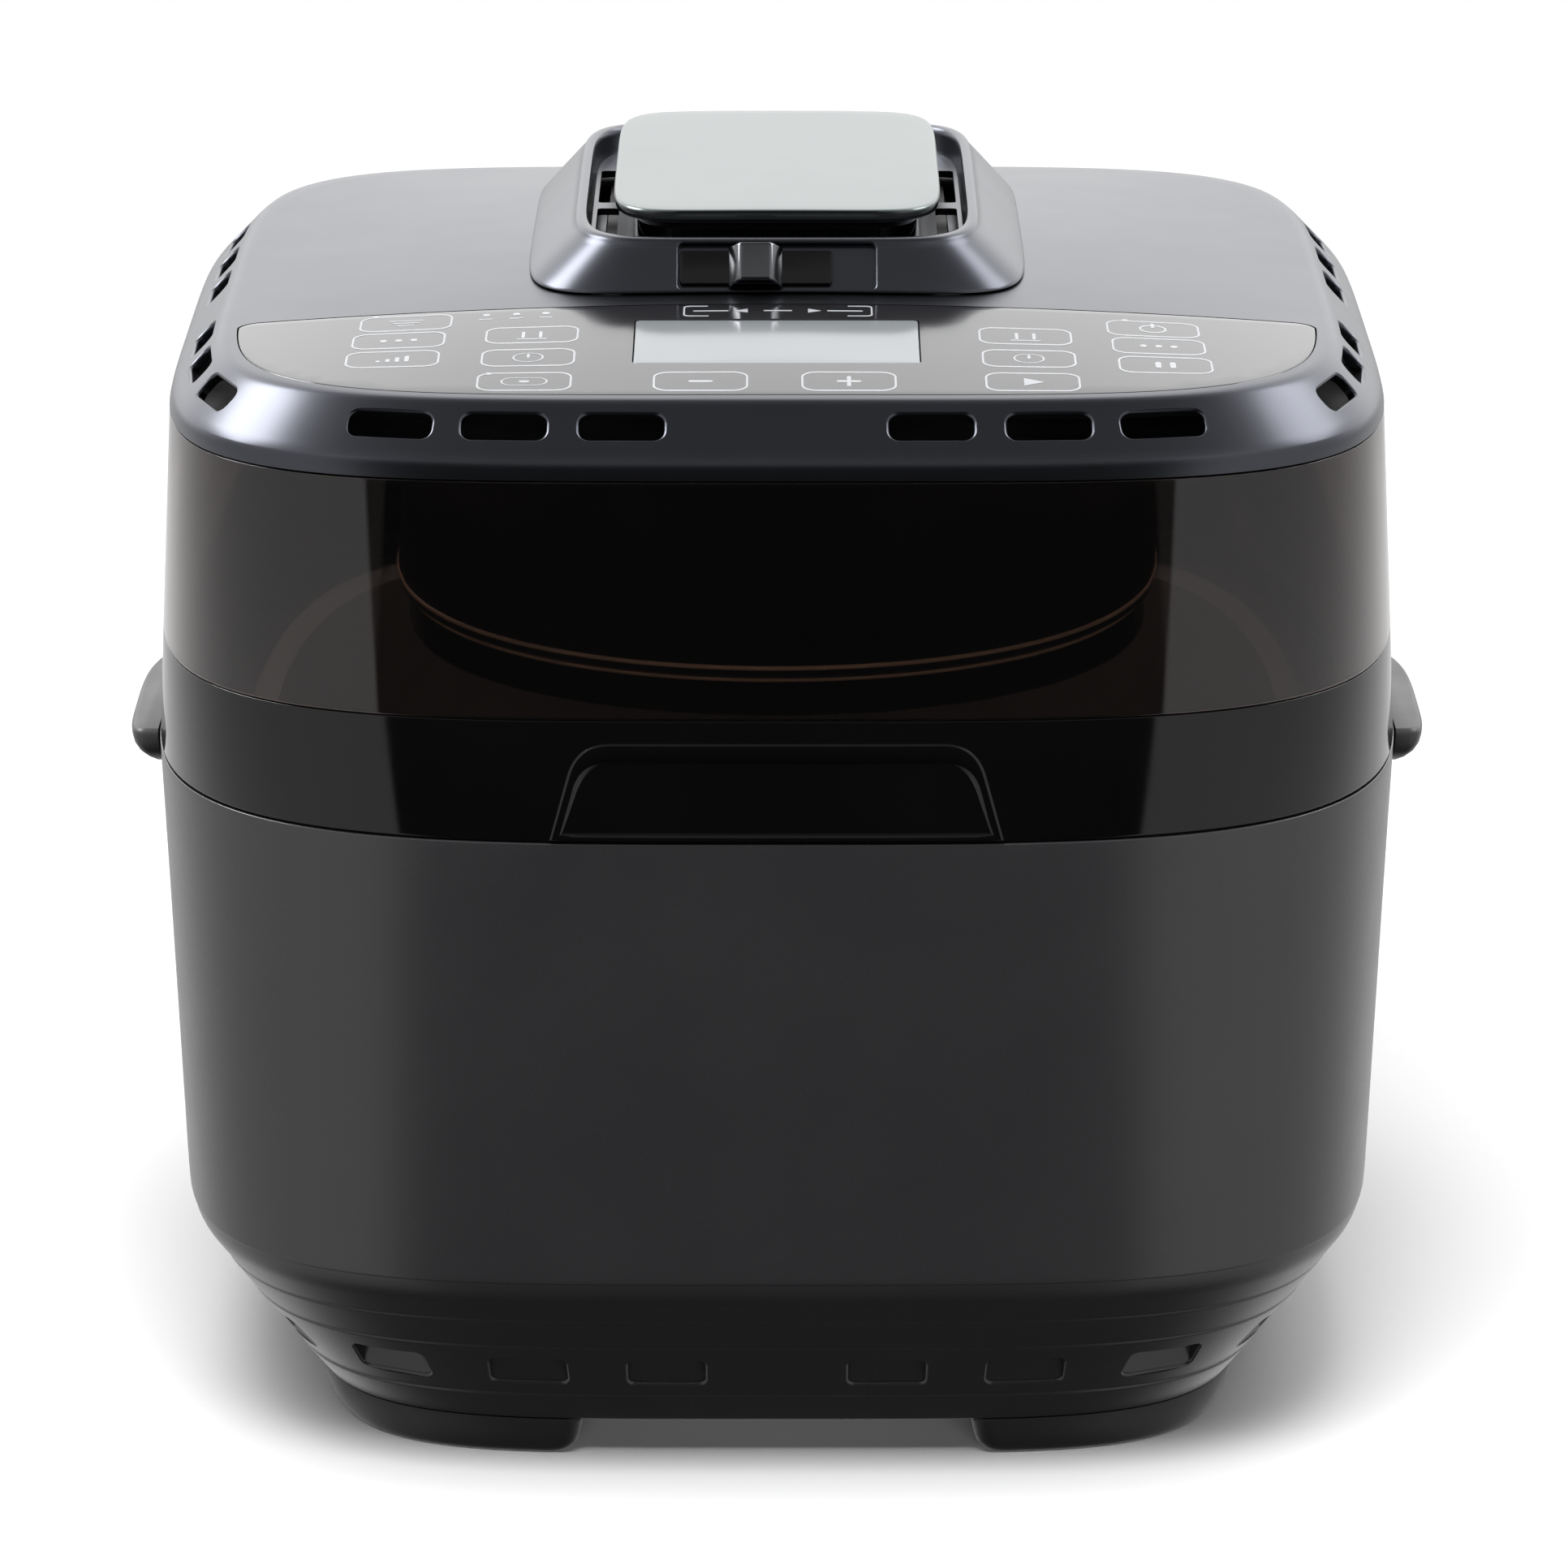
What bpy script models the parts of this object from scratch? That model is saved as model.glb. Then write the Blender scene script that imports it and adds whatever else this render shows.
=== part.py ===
"""Counter-top air fryer: a square pot housing with a lift-off powered lid, built as separate solids.

Sizes below are in millimetres and the helpers turn them into metres. The origin is on the table, in the
middle of the base; +Z is up and the control panel faces -Y.
"""

import math

import bmesh
import bpy
from mathutils import Matrix, Vector

MM = 0.001
GAP = 0.3
SEGMENTS = 48

# Heights of the main joints
FOOT_TOP = 11.9
BASE_LOW = 12.2
RIM_TOP = 194.0
SKIRT_LOW = 194.4
SKIRT_TOP = 228.0
WINDOW_TOP = 293.3
COVER_LOW = 293.6
TOP_EDGE = 312.5

# Power of the square plan at the rim
RIM_POWER = 3.66

# Half widths of the lid's skirt at its bottom and top, and the power of its plan at the top
SKIRT_HALF = (176.4, 174.4)
SKIRT_TOP_POWER = 4.0

# The domed top of the head: its rise in the middle, over the half width of the flat edge line
DOME_RISE = 7.6
TOP_POWER = 5.2
DOME_HALF = 155.8

# The control panel, set in the front of the top
PANEL_REAR = -65.0
PANEL_HALF = 151.3
PANEL_POWER = TOP_POWER
PANEL_CORNER = 6.0
PANEL_THICK = 2.2
DISPLAY_CENTRE = (0.0, -102.2)
DISPLAY_HALF = (39.5, 21.3)

# The handle group stands behind the panel
HANDLE_Y = 38.7
COLLAR_POWER = 7.0
COLLAR_FLOOR = 325.0
COLLAR_RIM = 333.0
COLLAR_FOOT = (71.0, 93.3)
COLLAR_SHOULDER = (57.4, 84.2)
COLLAR_LIP = 0.9
CAP_TOP = 339.1

# Air slots
BASE_SLOT = (21.4, 11.4, 2.2)
HEAD_SLOT = (22.8, 7.8, 2.8)

# Vent slider
SLIDER_TRAVEL = 12.0
VENT_PITCH = 2 * SLIDER_TRAVEL

# Rotisserie axis and fan axis
SPIT_HEIGHT = 148.0
SHAFT_RADIUS = 3.0

for old in list(bpy.data.objects):
    bpy.data.objects.remove(old)


def collection(name):
    made = bpy.data.collections.new(name)
    bpy.context.scene.collection.children.link(made)
    return made


PARTS = collection("AirFryer")
CUTTERS = collection("Cutters")


def material(name, colour, roughness, metallic=0.0, alpha=1.0):
    made = bpy.data.materials.new(name)
    made.use_nodes = True
    surface = made.node_tree.nodes["Principled BSDF"]
    surface.inputs["Base Color"].default_value = (*colour, 1.0)
    surface.inputs["Roughness"].default_value = roughness
    surface.inputs["Metallic"].default_value = metallic
    surface.inputs["Alpha"].default_value = alpha
    return made


MATTE_BLACK = material("matte_black", (0.030, 0.030, 0.033), 0.5)
GLOSS_BLACK = material("gloss_black", (0.012, 0.012, 0.014), 0.12)
GUNMETAL = material("gunmetal", (0.045, 0.047, 0.055), 0.28)
PANEL_GREY = material("panel_grey", (0.06, 0.06, 0.065), 0.15)
SMOKE = material("smoke_amber", (0.05, 0.035, 0.025), 0.05, alpha=0.6)
DISPLAY = material("display", (0.72, 0.74, 0.75), 0.25)
SATIN_METAL = material("satin_metal", (0.55, 0.60, 0.58), 0.32, 0.8)
DARK_RUBBER = material("dark_rubber", (0.02, 0.02, 0.02), 0.8)
STEEL = material("steel", (0.55, 0.55, 0.55), 0.35, 1.0)
COATED_STEEL = material("coated_steel", (0.05, 0.05, 0.05), 0.4, 0.3)
COPPER = material("copper", (0.60, 0.33, 0.18), 0.35, 1.0)
BOARD_GREEN = material("board_green", (0.03, 0.18, 0.08), 0.5)


# ---------------------------------------------------------------- outlines

def superellipse(half_x, half_y, power, count=SEGMENTS):
    """A square plan with bulging sides and round corners, anticlockwise from +X."""
    points = []
    for i in range(count):
        turn = 2 * math.pi * i / count
        along, across = math.cos(turn), math.sin(turn)
        x = math.copysign(abs(along) ** (2 / power), along) * half_x
        y = math.copysign(abs(across) ** (2 / power), across) * half_y
        points.append((x, y))
    return points


def rounded_box(half_x, half_y, radius, steps=3):
    """A rectangle with round corners, anticlockwise."""
    points = []
    for corner in range(4):
        middle = math.pi / 4 + corner * math.pi / 2
        centre_x = math.copysign(half_x - radius, math.cos(middle))
        centre_y = math.copysign(half_y - radius, math.sin(middle))
        for step in range(steps + 1):
            turn = corner * math.pi / 2 + step / steps * math.pi / 2
            points.append((centre_x + radius * math.cos(turn), centre_y + radius * math.sin(turn)))
    return points


def side_reach(half, power, offset):
    """How far the side of a superellipse stands from the middle, at an offset along that side."""
    return half * (1 - abs(offset / half) ** power) ** (1 / power)


def side_normal(half, power, offset):
    """Plan direction that the front side (-Y) faces at an offset along X, as an angle."""
    reach = side_reach(half, power, offset)
    across = math.copysign(abs(offset / half) ** (power - 1), offset)
    return math.atan2(-((reach / half) ** (power - 1)), across)


def dome(x, y):
    """Height of the domed top at a place, in mm."""
    return TOP_EDGE + DOME_RISE * (1 - (x / DOME_HALF) ** 2) * (1 - (y / DOME_HALF) ** 2)


def dome_less(depth):
    return lambda x, y: dome(x, y) - depth


def panel_outline(grow):
    """Half-moon in plan: a straight rear edge, and a front edge that follows the top's edge."""
    half = PANEL_HALF + grow
    rear = PANEL_REAR + grow
    radius = PANEL_CORNER + grow
    start = rear - radius
    corner_x = side_reach(half, PANEL_POWER, start) - radius
    points = []
    for sign, first in ((1, 0.0), (-1, math.pi / 2)):
        for step in range(5):
            turn = first + step / 4 * math.pi / 2
            points.append((sign * corner_x + radius * math.cos(turn), start + radius * math.sin(turn)))
    begin = math.asin(abs(start / half) ** (PANEL_POWER / 2))
    steps = 26
    for step in range(1, steps):
        turn = math.pi + begin + step / steps * (math.pi - 2 * begin)
        along, across = math.cos(turn), math.sin(turn)
        x = math.copysign(abs(along) ** (2 / PANEL_POWER), along) * half
        points.append((x, -(abs(across) ** (2 / PANEL_POWER)) * half))
    return points


# ---------------------------------------------------------------- building

def section(outline, height, centre=(0.0, 0.0)):
    """An outline at a height, which may be a number or a function of x and y."""
    placed = []
    for x, y in outline:
        at_x, at_y = x + centre[0], y + centre[1]
        z = height(at_x, at_y) if callable(height) else height
        placed.append(Vector((at_x, at_y, z)) * MM)
    return placed


def square_section(height, half, power):
    return section(superellipse(half, half, power), height)


def add_object(name, mesh, look, home=PARTS):
    data = bpy.data.meshes.new(name)
    mesh.to_mesh(data)
    mesh.free()
    made = bpy.data.objects.new(name, data)
    home.objects.link(made)
    if look:
        data.materials.append(look)
        data.shade_smooth()
        data.set_sharp_from_angle(angle=math.radians(32))
    return made


def add_loft(mesh, sections, closed=False):
    """Skin a row of sections. Closed joins the last to the first, otherwise both ends are capped."""
    rows = [[mesh.verts.new(point) for point in points] for points in sections]
    pairs = list(zip(rows, rows[1:]))
    if closed:
        pairs.append((rows[-1], rows[0]))
    count = len(rows[0])
    made = []
    for low, high in pairs:
        for i in range(count):
            j = (i + 1) % count
            made.append(mesh.faces.new((low[i], low[j], high[j], high[i])))
    if not closed:
        made.append(mesh.faces.new(rows[0]))
        made.append(mesh.faces.new(rows[-1]))
    bmesh.ops.recalc_face_normals(mesh, faces=made)


def loft(name, sections, look, closed=False):
    mesh = bmesh.new()
    add_loft(mesh, sections, closed)
    return add_object(name, mesh, look)


def add_prism(mesh, outline, low, high, place=None):
    """A closed prism of a plan outline in mm, moved by a matrix in metres."""
    place = place or Matrix.Identity(4)
    ends = [[place @ point for point in section(outline, height)] for height in (low, high)]
    add_loft(mesh, ends)


def prism(name, outline, low, high, look):
    mesh = bmesh.new()
    add_prism(mesh, outline, low, high)
    return add_object(name, mesh, look)


def circle(radius, count=20, centre=(0.0, 0.0)):
    turns = [2 * math.pi * i / count for i in range(count)]
    return [(centre[0] + radius * math.cos(t), centre[1] + radius * math.sin(t)) for t in turns]


def turned(name, profile, look, steps=SEGMENTS, bottom_up=False):
    """A ring with its profile in (radius, height), down its outer side and back up its inner side."""
    mesh = bmesh.new()
    points = [mesh.verts.new(Vector((radius, 0.0, height)) * MM) for radius, height in profile]
    for first, second in zip(points, points[1:] + points[:1]):
        mesh.edges.new((first, second))
    made = add_object(name, mesh, look)
    screw = made.modifiers.new("Turn", "SCREW")
    screw.steps = steps
    screw.render_steps = steps
    screw.use_merge_vertices = True
    screw.merge_threshold = 0.00001
    return made


def combine(target, mesh, operation="DIFFERENCE"):
    """Cut, join or trim a part with the closed bodies of a bmesh."""
    cutter = add_object(f"{target.name}_{operation.lower()}", mesh, None, CUTTERS)
    cutter.hide_render = True
    cutter.display_type = "WIRE"
    boolean = target.modifiers.new(operation.title(), "BOOLEAN")
    boolean.operation = operation
    boolean.object = cutter


def face_frame(point, azimuth, tilt):
    """A matrix with its Z out of a face at a point in mm, X level along it and Y up it."""
    out = Vector((math.cos(azimuth) * math.cos(tilt), math.sin(azimuth) * math.cos(tilt), math.sin(tilt)))
    level = Vector((-math.sin(azimuth), math.cos(azimuth), 0.0))
    turn = Matrix((level, out.cross(level), out)).transposed().to_4x4()
    return Matrix.Translation(Vector(point) * MM) @ turn


def x_frame(point):
    """A matrix that lays a prism's height along +X, its outline in (y, z)."""
    turn = Matrix(((0, 0, 1), (1, 0, 0), (0, 1, 0))).to_4x4()
    return Matrix.Translation(Vector(point) * MM) @ turn


def slot_places(half, power, rows, tilt, height):
    """Frames for the air slots, from a row of offsets for each of the front, right, rear and left sides."""
    places = []
    for turn, offsets in enumerate(rows):
        for offset in offsets:
            point = Vector((offset, -side_reach(half, power, offset), height))
            frame = face_frame(point, side_normal(half, power, offset), tilt)
            places.append(Matrix.Rotation(turn * math.pi / 2, 4, "Z") @ frame)
    return places


def slot_cutter(places, size, depth):
    width, height, radius = size
    mesh = bmesh.new()
    for place in places:
        add_prism(mesh, rounded_box(width / 2, height / 2, radius, 2), -depth, depth, place)
    return mesh


# ---------------------------------------------------------------- the base

def base_shell():
    outer = [(BASE_LOW, 134.6, 4.5), (42.0, 156.2, 4.3), (59.0, 168.1, 4.12), (63.5, 169.9, 4.09),
             (72.0, 170.7, 4.05), (RIM_TOP, 176.6, RIM_POWER)]
    inner = [(RIM_TOP, 174.2, RIM_POWER), (183.0, 173.9, RIM_POWER), (183.0, 169.1, RIM_POWER),
             (179.0, 169.1, RIM_POWER), (176.0, 172.2, 3.68), (72.0, 168.1, 4.05), (58.0, 164.5, 4.12),
             (42.0, 153.6, 4.3), (BASE_LOW, 132.0, 4.5)]
    shell = loft("base_shell", [square_section(*ring) for ring in outer + inner], MATTE_BLACK, closed=True)
    slot_height, half, power = 31.2, 148.4, 4.38
    offsets = [-108.4, -69.6, -30.8, 30.8, 69.6, 108.4]
    tilt = -math.atan2(156.2 - 134.6, 42.0 - BASE_LOW)
    places = slot_places(half, power, [offsets] * 4, tilt, slot_height)
    combine(shell, slot_cutter(places, BASE_SLOT, 8.0))


def base_floor():
    loft("base_floor", [square_section(z, 131.4, 4.5) for z in (12.5, 15.5)], MATTE_BLACK)


def soften(corner, before, after, reach, steps=3):
    """Points that round a corner off, starting a reach before it and ending a reach after it."""
    corner, before, after = Vector(corner), Vector(before), Vector(after)
    start = corner + (before - corner).normalized() * reach
    end = corner + (after - corner).normalized() * reach
    points = []
    for step in range(steps + 1):
        share = step / steps
        point = start * (1 - share) ** 2 + corner * 2 * share * (1 - share) + end * share ** 2
        points.append(tuple(point))
    return points


def foot_outline(half, power, inner_edge):
    """One corner of the base's plan, in the +X +Y quarter, anticlockwise."""
    far = side_reach(half, power, inner_edge)
    inside = (inner_edge, inner_edge)
    start, end = (far, inner_edge), (inner_edge, far)
    curve = []
    first = math.asin((inner_edge / half) ** (power / 2))
    for step in range(1, 10):
        turn = first + step / 10 * (math.pi / 2 - 2 * first)
        curve.append((half * math.cos(turn) ** (2 / power), half * math.sin(turn) ** (2 / power)))
    return (soften(start, inside, curve[0], 5.0) + curve
            + soften(end, curve[-1], inside, 5.0) + soften(inside, end, start, 18.0))


def feet():
    rings = [(FOOT_TOP, 134.3, 4.5, 55.0), (6.0, 132.9, 4.6, 55.8),
             (1.8, 130.8, 4.8, 58.0), (0.0, 128.5, 5.0, 61.0)]
    names = {0: "foot_rear_right", 1: "foot_rear_left", 2: "foot_front_left", 3: "foot_front_right"}
    for turn, name in names.items():
        spin = Matrix.Rotation(turn * math.pi / 2, 3, "Z")
        sections = [[spin @ point for point in section(foot_outline(half, power, edge), z)]
                    for z, half, power, edge in rings]
        loft(name, sections, DARK_RUBBER)


def side_handles():
    """A grip on each side at the rim: blunt in front, fading into the wall behind, tapered below."""
    middle = -11.0
    levels = [(180.0, 176.3, 3.0, 34.0), (184.0, 176.6, 6.9, 41.0), (186.5, 176.7, 8.1, 43.0),
              (190.4, 176.9, 8.5, 43.0), (191.8, 176.9, 7.8, 42.2)]
    for name, sign in (("side_handle_right", 1), ("side_handle_left", -1)):
        sections = []
        for z, wall, bulge, half_length in levels:
            outline = [(sign * wall, middle - half_length)]
            for step in range(13):
                along = -math.cos(step / 12 * math.pi)
                power = 5.0 if along < 0 else 2.4
                out = bulge * (1 - abs(along) ** power) ** (1 / power)
                outline.append((sign * (wall + 0.4 + out), middle + half_length * along))
            outline.append((sign * wall, middle + half_length))
            sections.append(section(outline, z))
        loft(name, sections, GUNMETAL)


def inner_liner():
    rings = [(33.0, 138.5), (40.0, 144.0), (183.3, 156.0), (183.3, 173.2), (184.5, 173.2), (184.5, 154.8),
             (41.0, 142.8), (34.2, 137.3)]
    liner = loft("inner_liner", [square_section(z, half, 3.6) for z, half in rings], STEEL)
    mesh = bmesh.new()
    for side in (-1, 1):
        add_prism(mesh, circle(8.0), -8.0, 8.0, x_frame((side * 153.5, 0.0, SPIT_HEIGHT)))
    combine(liner, mesh)


def rotisserie():
    """The gear motor in the wall gap, its drive dog, and the idle pivot on the other side."""
    mesh = bmesh.new()
    add_prism(mesh, circle(24.0, 28), 155.9, 169.3, x_frame((0.0, 0.0, SPIT_HEIGHT)))
    add_object("rotisserie_motor", mesh, STEEL)
    for name, turn, look in (("rotisserie_drive_dog", 0.0, STEEL), ("rotisserie_idle_pivot", math.pi, STEEL)):
        spin = Matrix.Rotation(turn, 4, "Z")
        mesh = bmesh.new()
        add_prism(mesh, circle(6.5), -2.0, 2.0)
        made = add_object(name, mesh, look)
        made.matrix_world = spin @ x_frame((153.5, 0.0, SPIT_HEIGHT))
        pin = bmesh.new()
        add_prism(pin, rounded_box(3.0, 3.0, 0.6, 1), 148.1, 152.1, spin @ x_frame((0.0, 0.0, SPIT_HEIGHT)))
        combine(made, pin, "UNION")


def cooking_pot():
    rings = [(42.0, 133.5), (48.0, 139.5), (184.8, 150.5), (184.8, 158.0), (186.2, 158.0), (186.2, 149.2),
             (49.0, 138.1), (43.4, 132.2)]
    pot = loft("cooking_pot", [square_section(z, half, 3.6) for z, half in rings], COATED_STEEL)
    notch_half = 9.0
    steps = 10
    turns = [math.pi + math.pi * step / steps for step in range(steps + 1)]
    outline = [(notch_half * math.cos(t), notch_half * math.sin(t)) for t in turns]
    outline += [(notch_half, 50.0), (-notch_half, 50.0)]
    mesh = bmesh.new()
    for side in (-1, 1):
        add_prism(mesh, outline, -16.0, 16.0, x_frame((side * 150.0, 0.0, SPIT_HEIGHT)))
    combine(pot, mesh)


def crisper_plate():
    plate = loft("crisper_plate", [square_section(z, 137.2, 3.6) for z in (62.0, 64.0)], COATED_STEEL)
    legs = bmesh.new()
    for x in (-69.0, 69.0):
        for y in (-69.0, 69.0):
            add_prism(legs, circle(5.0, 12, (x, y)), 43.7, 63.0)
    combine(plate, legs, "UNION")
    holes = bmesh.new()
    for column in range(-2, 3):
        for row in range(-2, 3):
            outline = [(x + column * 46.0, y + row * 46.0) for x, y in rounded_box(15.0, 7.0, 5.0, 1)]
            add_prism(holes, outline, 60.0, 66.0)
    combine(plate, holes)


# ---------------------------------------------------------------- the lid's walls

def skirt_reach(x, z):
    """How far the front of the skirt stands from the middle, at an offset along X and a height."""
    share = (z - SKIRT_LOW) / (SKIRT_TOP - SKIRT_LOW)
    half = SKIRT_HALF[0] + (SKIRT_HALF[1] - SKIRT_HALF[0]) * share
    return side_reach(half, RIM_POWER + (SKIRT_TOP_POWER - RIM_POWER) * share, x)


def lid_skirt():
    rings = [(SKIRT_LOW, SKIRT_HALF[0], RIM_POWER), (SKIRT_TOP, SKIRT_HALF[1], SKIRT_TOP_POWER),
             (SKIRT_TOP, 171.3, SKIRT_TOP_POWER),
             (189.0, 170.2, RIM_POWER), (189.0, 173.0, RIM_POWER), (SKIRT_LOW, 173.0, RIM_POWER)]
    skirt = loft("lid_skirt", [square_section(*ring) for ring in rings], GLOSS_BLACK, closed=True)
    turn = Matrix(((1, 0, 0), (0, 0, -1), (0, 1, 0))).to_4x4()
    mesh = bmesh.new()
    add_prism(mesh, pull_outline(51.9, 58.5, 217.3, 196.0, 8.5), 160.0, 190.0, turn)
    combine(skirt, mesh)


def pull_outline(half_top, half_low, top, low, radius):
    """The finger pull's trapezoid in (x, z): square feet and round shoulders."""
    shoulder = soften((half_top, top), (half_low, low), (0.0, top), radius, 4)
    right = [(half_low * step / 3, low) for step in range(1, 4)] + shoulder + [(half_top * 0.35, top)]
    left = [(-x, z) for x, z in reversed(right)]
    return [(0.0, low)] + right + [(0.0, top)] + left


def pull_hood():
    """A bevelled frame round a shallow cup that fingers reach into, set in the front of the skirt."""
    mouth = (51.6, 58.2, 217.0, 196.3, 8.5)
    stages = [(mouth, -8.6), (mouth, 0.3), ((54.2, 61.6, 222.1, 195.0, 9.5), 0.3),
              ((54.0, 61.4, 221.9, 195.1, 9.5), 0.7), ((53.0, 60.2, 220.4, 195.6, 9.2), 1.1),
              ((51.0, 57.6, 216.6, 197.2, 8.0), 0.0), ((49.4, 56.0, 214.2, 198.6, 7.4), -7.0)]
    sections = []
    for shape, proud in stages:
        points = pull_outline(*shape)
        sections.append([Vector((x, -(skirt_reach(x, z) + proud), z)) * MM for x, z in points])
    loft("pull_hood", sections, GLOSS_BLACK)


def lid_gasket():
    rings = [(184.8, 172.4), (188.7, 172.4), (188.7, 168.2), (184.8, 168.2)]
    loft("lid_gasket", [square_section(z, half, RIM_POWER) for z, half in rings], DARK_RUBBER, closed=True)


def window_band():
    low = SKIRT_TOP + GAP
    rings = [(low, SKIRT_HALF[1], SKIRT_TOP_POWER), (WINDOW_TOP, 170.6, 4.5), (WINDOW_TOP, 167.6, 4.5),
             (low, 171.4, SKIRT_TOP_POWER)]
    loft("window_band", [square_section(*ring) for ring in rings], SMOKE, closed=True)


# ---------------------------------------------------------------- the head

BOSSES = [(x, y) for x in (-124.0, 124.0) for y in (-124.0, 124.0)]
GLAND_PLACE = (0.0, 0.0, 300.2)


def head_cover():
    shares = (0.82, 0.5, 0.2)
    outer = [(COVER_LOW, 170.7, 4.5), (297.8, 169.6, 4.75), (299.9, 168.0, 4.85), (311.0, 157.3, 5.15),
             (312.4, 155.2, TOP_POWER)]
    inner = [(COVER_LOW, 168.1, 4.5), (297.4, 167.0, 4.7), (308.8, 155.9, 5.15), (310.0, 153.2, TOP_POWER)]
    rounds = [superellipse(DOME_HALF * share, DOME_HALF * share, TOP_POWER) for share in shares]
    sections = [section(outline, dome_less(2.4)) for outline in reversed(rounds)]
    sections += [square_section(*ring) for ring in reversed(inner)]
    sections += [square_section(*ring) for ring in outer]
    sections += [section(outline, dome) for outline in rounds]
    cover = loft("head_cover", sections, GUNMETAL)
    bosses = bmesh.new()
    for place in BOSSES:
        add_prism(bosses, circle(5.0, 16, place), COVER_LOW, 312.0)
    combine(cover, bosses, "UNION")
    half, power, height = 161.5, 5.0, 306.6
    front = [-104.0, -73.2, -41.6, 41.6, 73.2, 104.0]
    sides = [-120.0, -87.9, -55.8, 10.0, 42.7, 76.0]
    tilt = math.atan2(168.0 - 157.3, 311.0 - 299.9)
    rows = [front, sides, front, [-offset for offset in sides]]
    places = slot_places(half, power, rows, tilt, height)
    combine(cover, slot_cutter(places, HEAD_SLOT, 7.0))
    openings = bmesh.new()
    add_prism(openings, panel_outline(0.0), 290.0, 330.0)
    vent = [(x, y + HANDLE_Y) for x, y in rounded_box(50.0, 58.0, 8.0)]
    add_prism(openings, vent, 290.0, 330.0)
    add_prism(openings, rounded_box(8.3, 4.7, 4.0), 140.0, 190.0, y_frame(GLAND_PLACE))
    for place in BOSSES:
        add_prism(openings, circle(2.1, 12, place), 290.0, 307.0)
    combine(cover, openings)


def y_frame(point):
    """A matrix that lays a prism's height along +Y."""
    turn = Matrix(((1, 0, 0), (0, 0, 1), (0, -1, 0))).to_4x4()
    return Matrix.Translation(Vector(point) * MM) @ turn


def domed_plate(name, half_x, half_y, centre, cells, thickness, look):
    """A sheet that follows the dome, with its top face on it."""
    mesh = bmesh.new()
    bmesh.ops.create_grid(mesh, x_segments=cells[0], y_segments=cells[1], size=1.0)
    for vertex in mesh.verts:
        x = centre[0] + vertex.co.x * half_x
        y = centre[1] + vertex.co.y * half_y
        vertex.co = Vector((x, y, dome(x, y))) * MM
    made = add_object(name, mesh, look)
    solid = made.modifiers.new("Thickness", "SOLIDIFY")
    solid.thickness = thickness * MM
    solid.offset = -1.0
    return made


def control_panel():
    panel = domed_plate("control_panel", 156.0, 50.0, (0.0, -108.0), (22, 8), PANEL_THICK, PANEL_GREY)
    outline = bmesh.new()
    add_prism(outline, panel_outline(-GAP), 290.0, 330.0)
    combine(panel, outline, "INTERSECT")
    window = bmesh.new()
    add_prism(window, display_outline(0.0), 290.0, 330.0)
    combine(panel, window)


def display_outline(grow):
    outline = rounded_box(DISPLAY_HALF[0] + grow, DISPLAY_HALF[1] + grow, 2.0 + grow, 2)
    return [(x + DISPLAY_CENTRE[0], y + DISPLAY_CENTRE[1]) for x, y in outline]


def display_window():
    window = domed_plate("display_window", 44.0, 24.0, DISPLAY_CENTRE, (6, 4), PANEL_THICK, DISPLAY)
    outline = bmesh.new()
    add_prism(outline, display_outline(-GAP), 290.0, 330.0)
    combine(window, outline, "INTERSECT")


def moved(outline, centre):
    return [(x + centre[0], y + centre[1]) for x, y in outline]


def boards():
    prism("display_module", moved(rounded_box(41.5, 22.0, 1.0, 1), DISPLAY_CENTRE), 307.5, 312.5, DISPLAY)
    prism("control_board", moved(rounded_box(118.0, 33.0, 3.0, 2), (0.0, -106.0)), 305.5, 307.1, BOARD_GREEN)
    outline = moved(rounded_box(32.0, 44.0, 3.0, 2), (95.0, 45.0))
    power = prism("power_board", outline, 294.0, 295.6, BOARD_GREEN)
    parts = bmesh.new()
    blocks = [(85, 70, 10, 10, 307), (108, 68, 8, 6, 304), (80, 35, 8, 8, 305), (106, 30, 9, 14, 306)]
    for x, y, half_x, half_y, top in blocks:
        add_prism(parts, moved(rounded_box(half_x, half_y, 1.5, 2), (x, y)), 295.0, top)
    combine(power, parts, "UNION")


def head_deck():
    rings = [(291.0, 166.6, 4.45), (293.3, 166.9, 4.5)]
    deck = loft("head_deck", [square_section(*ring) for ring in rings], MATTE_BLACK)
    holes = bmesh.new()
    add_prism(holes, circle(58.0, 32), 280.0, 300.0)
    for place in BOSSES:
        add_prism(holes, circle(2.2, 12, place), 280.0, 300.0)
    combine(deck, holes)


def deck_screws():
    head, shank = 4.0, 1.8
    for number, (x, y) in enumerate(BOSSES, 1):
        mesh = bmesh.new()
        sizes = [(head, 288.5), (head, 290.7), (shank, 290.7), (shank, 306.0)]
        add_loft(mesh, [section(circle(radius, 12, (x, y)), z) for radius, z in sizes])
        add_object(f"deck_screw_{number}", mesh, STEEL)


def cord_gland():
    mesh = bmesh.new()
    body, stub, bore = (8.0, 4.4, 3.8), (7.0, 3.9, 3.4), (5.2, 2.6, 2.2)
    stages = [(body, 152.0), (body, 171.0), (stub, 172.0), (stub, 175.0), (bore, 175.0), (bore, 161.0)]
    place = y_frame(GLAND_PLACE)
    rings = []
    for size, along in stages:
        rings.append([place @ point for point in section(rounded_box(*size), along)])
    add_loft(mesh, rings)
    add_object("cord_gland", mesh, DARK_RUBBER)


# ---------------------------------------------------------------- the handle group

def collar_section(half_x, half_y, height):
    return section(superellipse(half_x, half_y, COLLAR_POWER), height, (0.0, HANDLE_Y))


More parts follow.
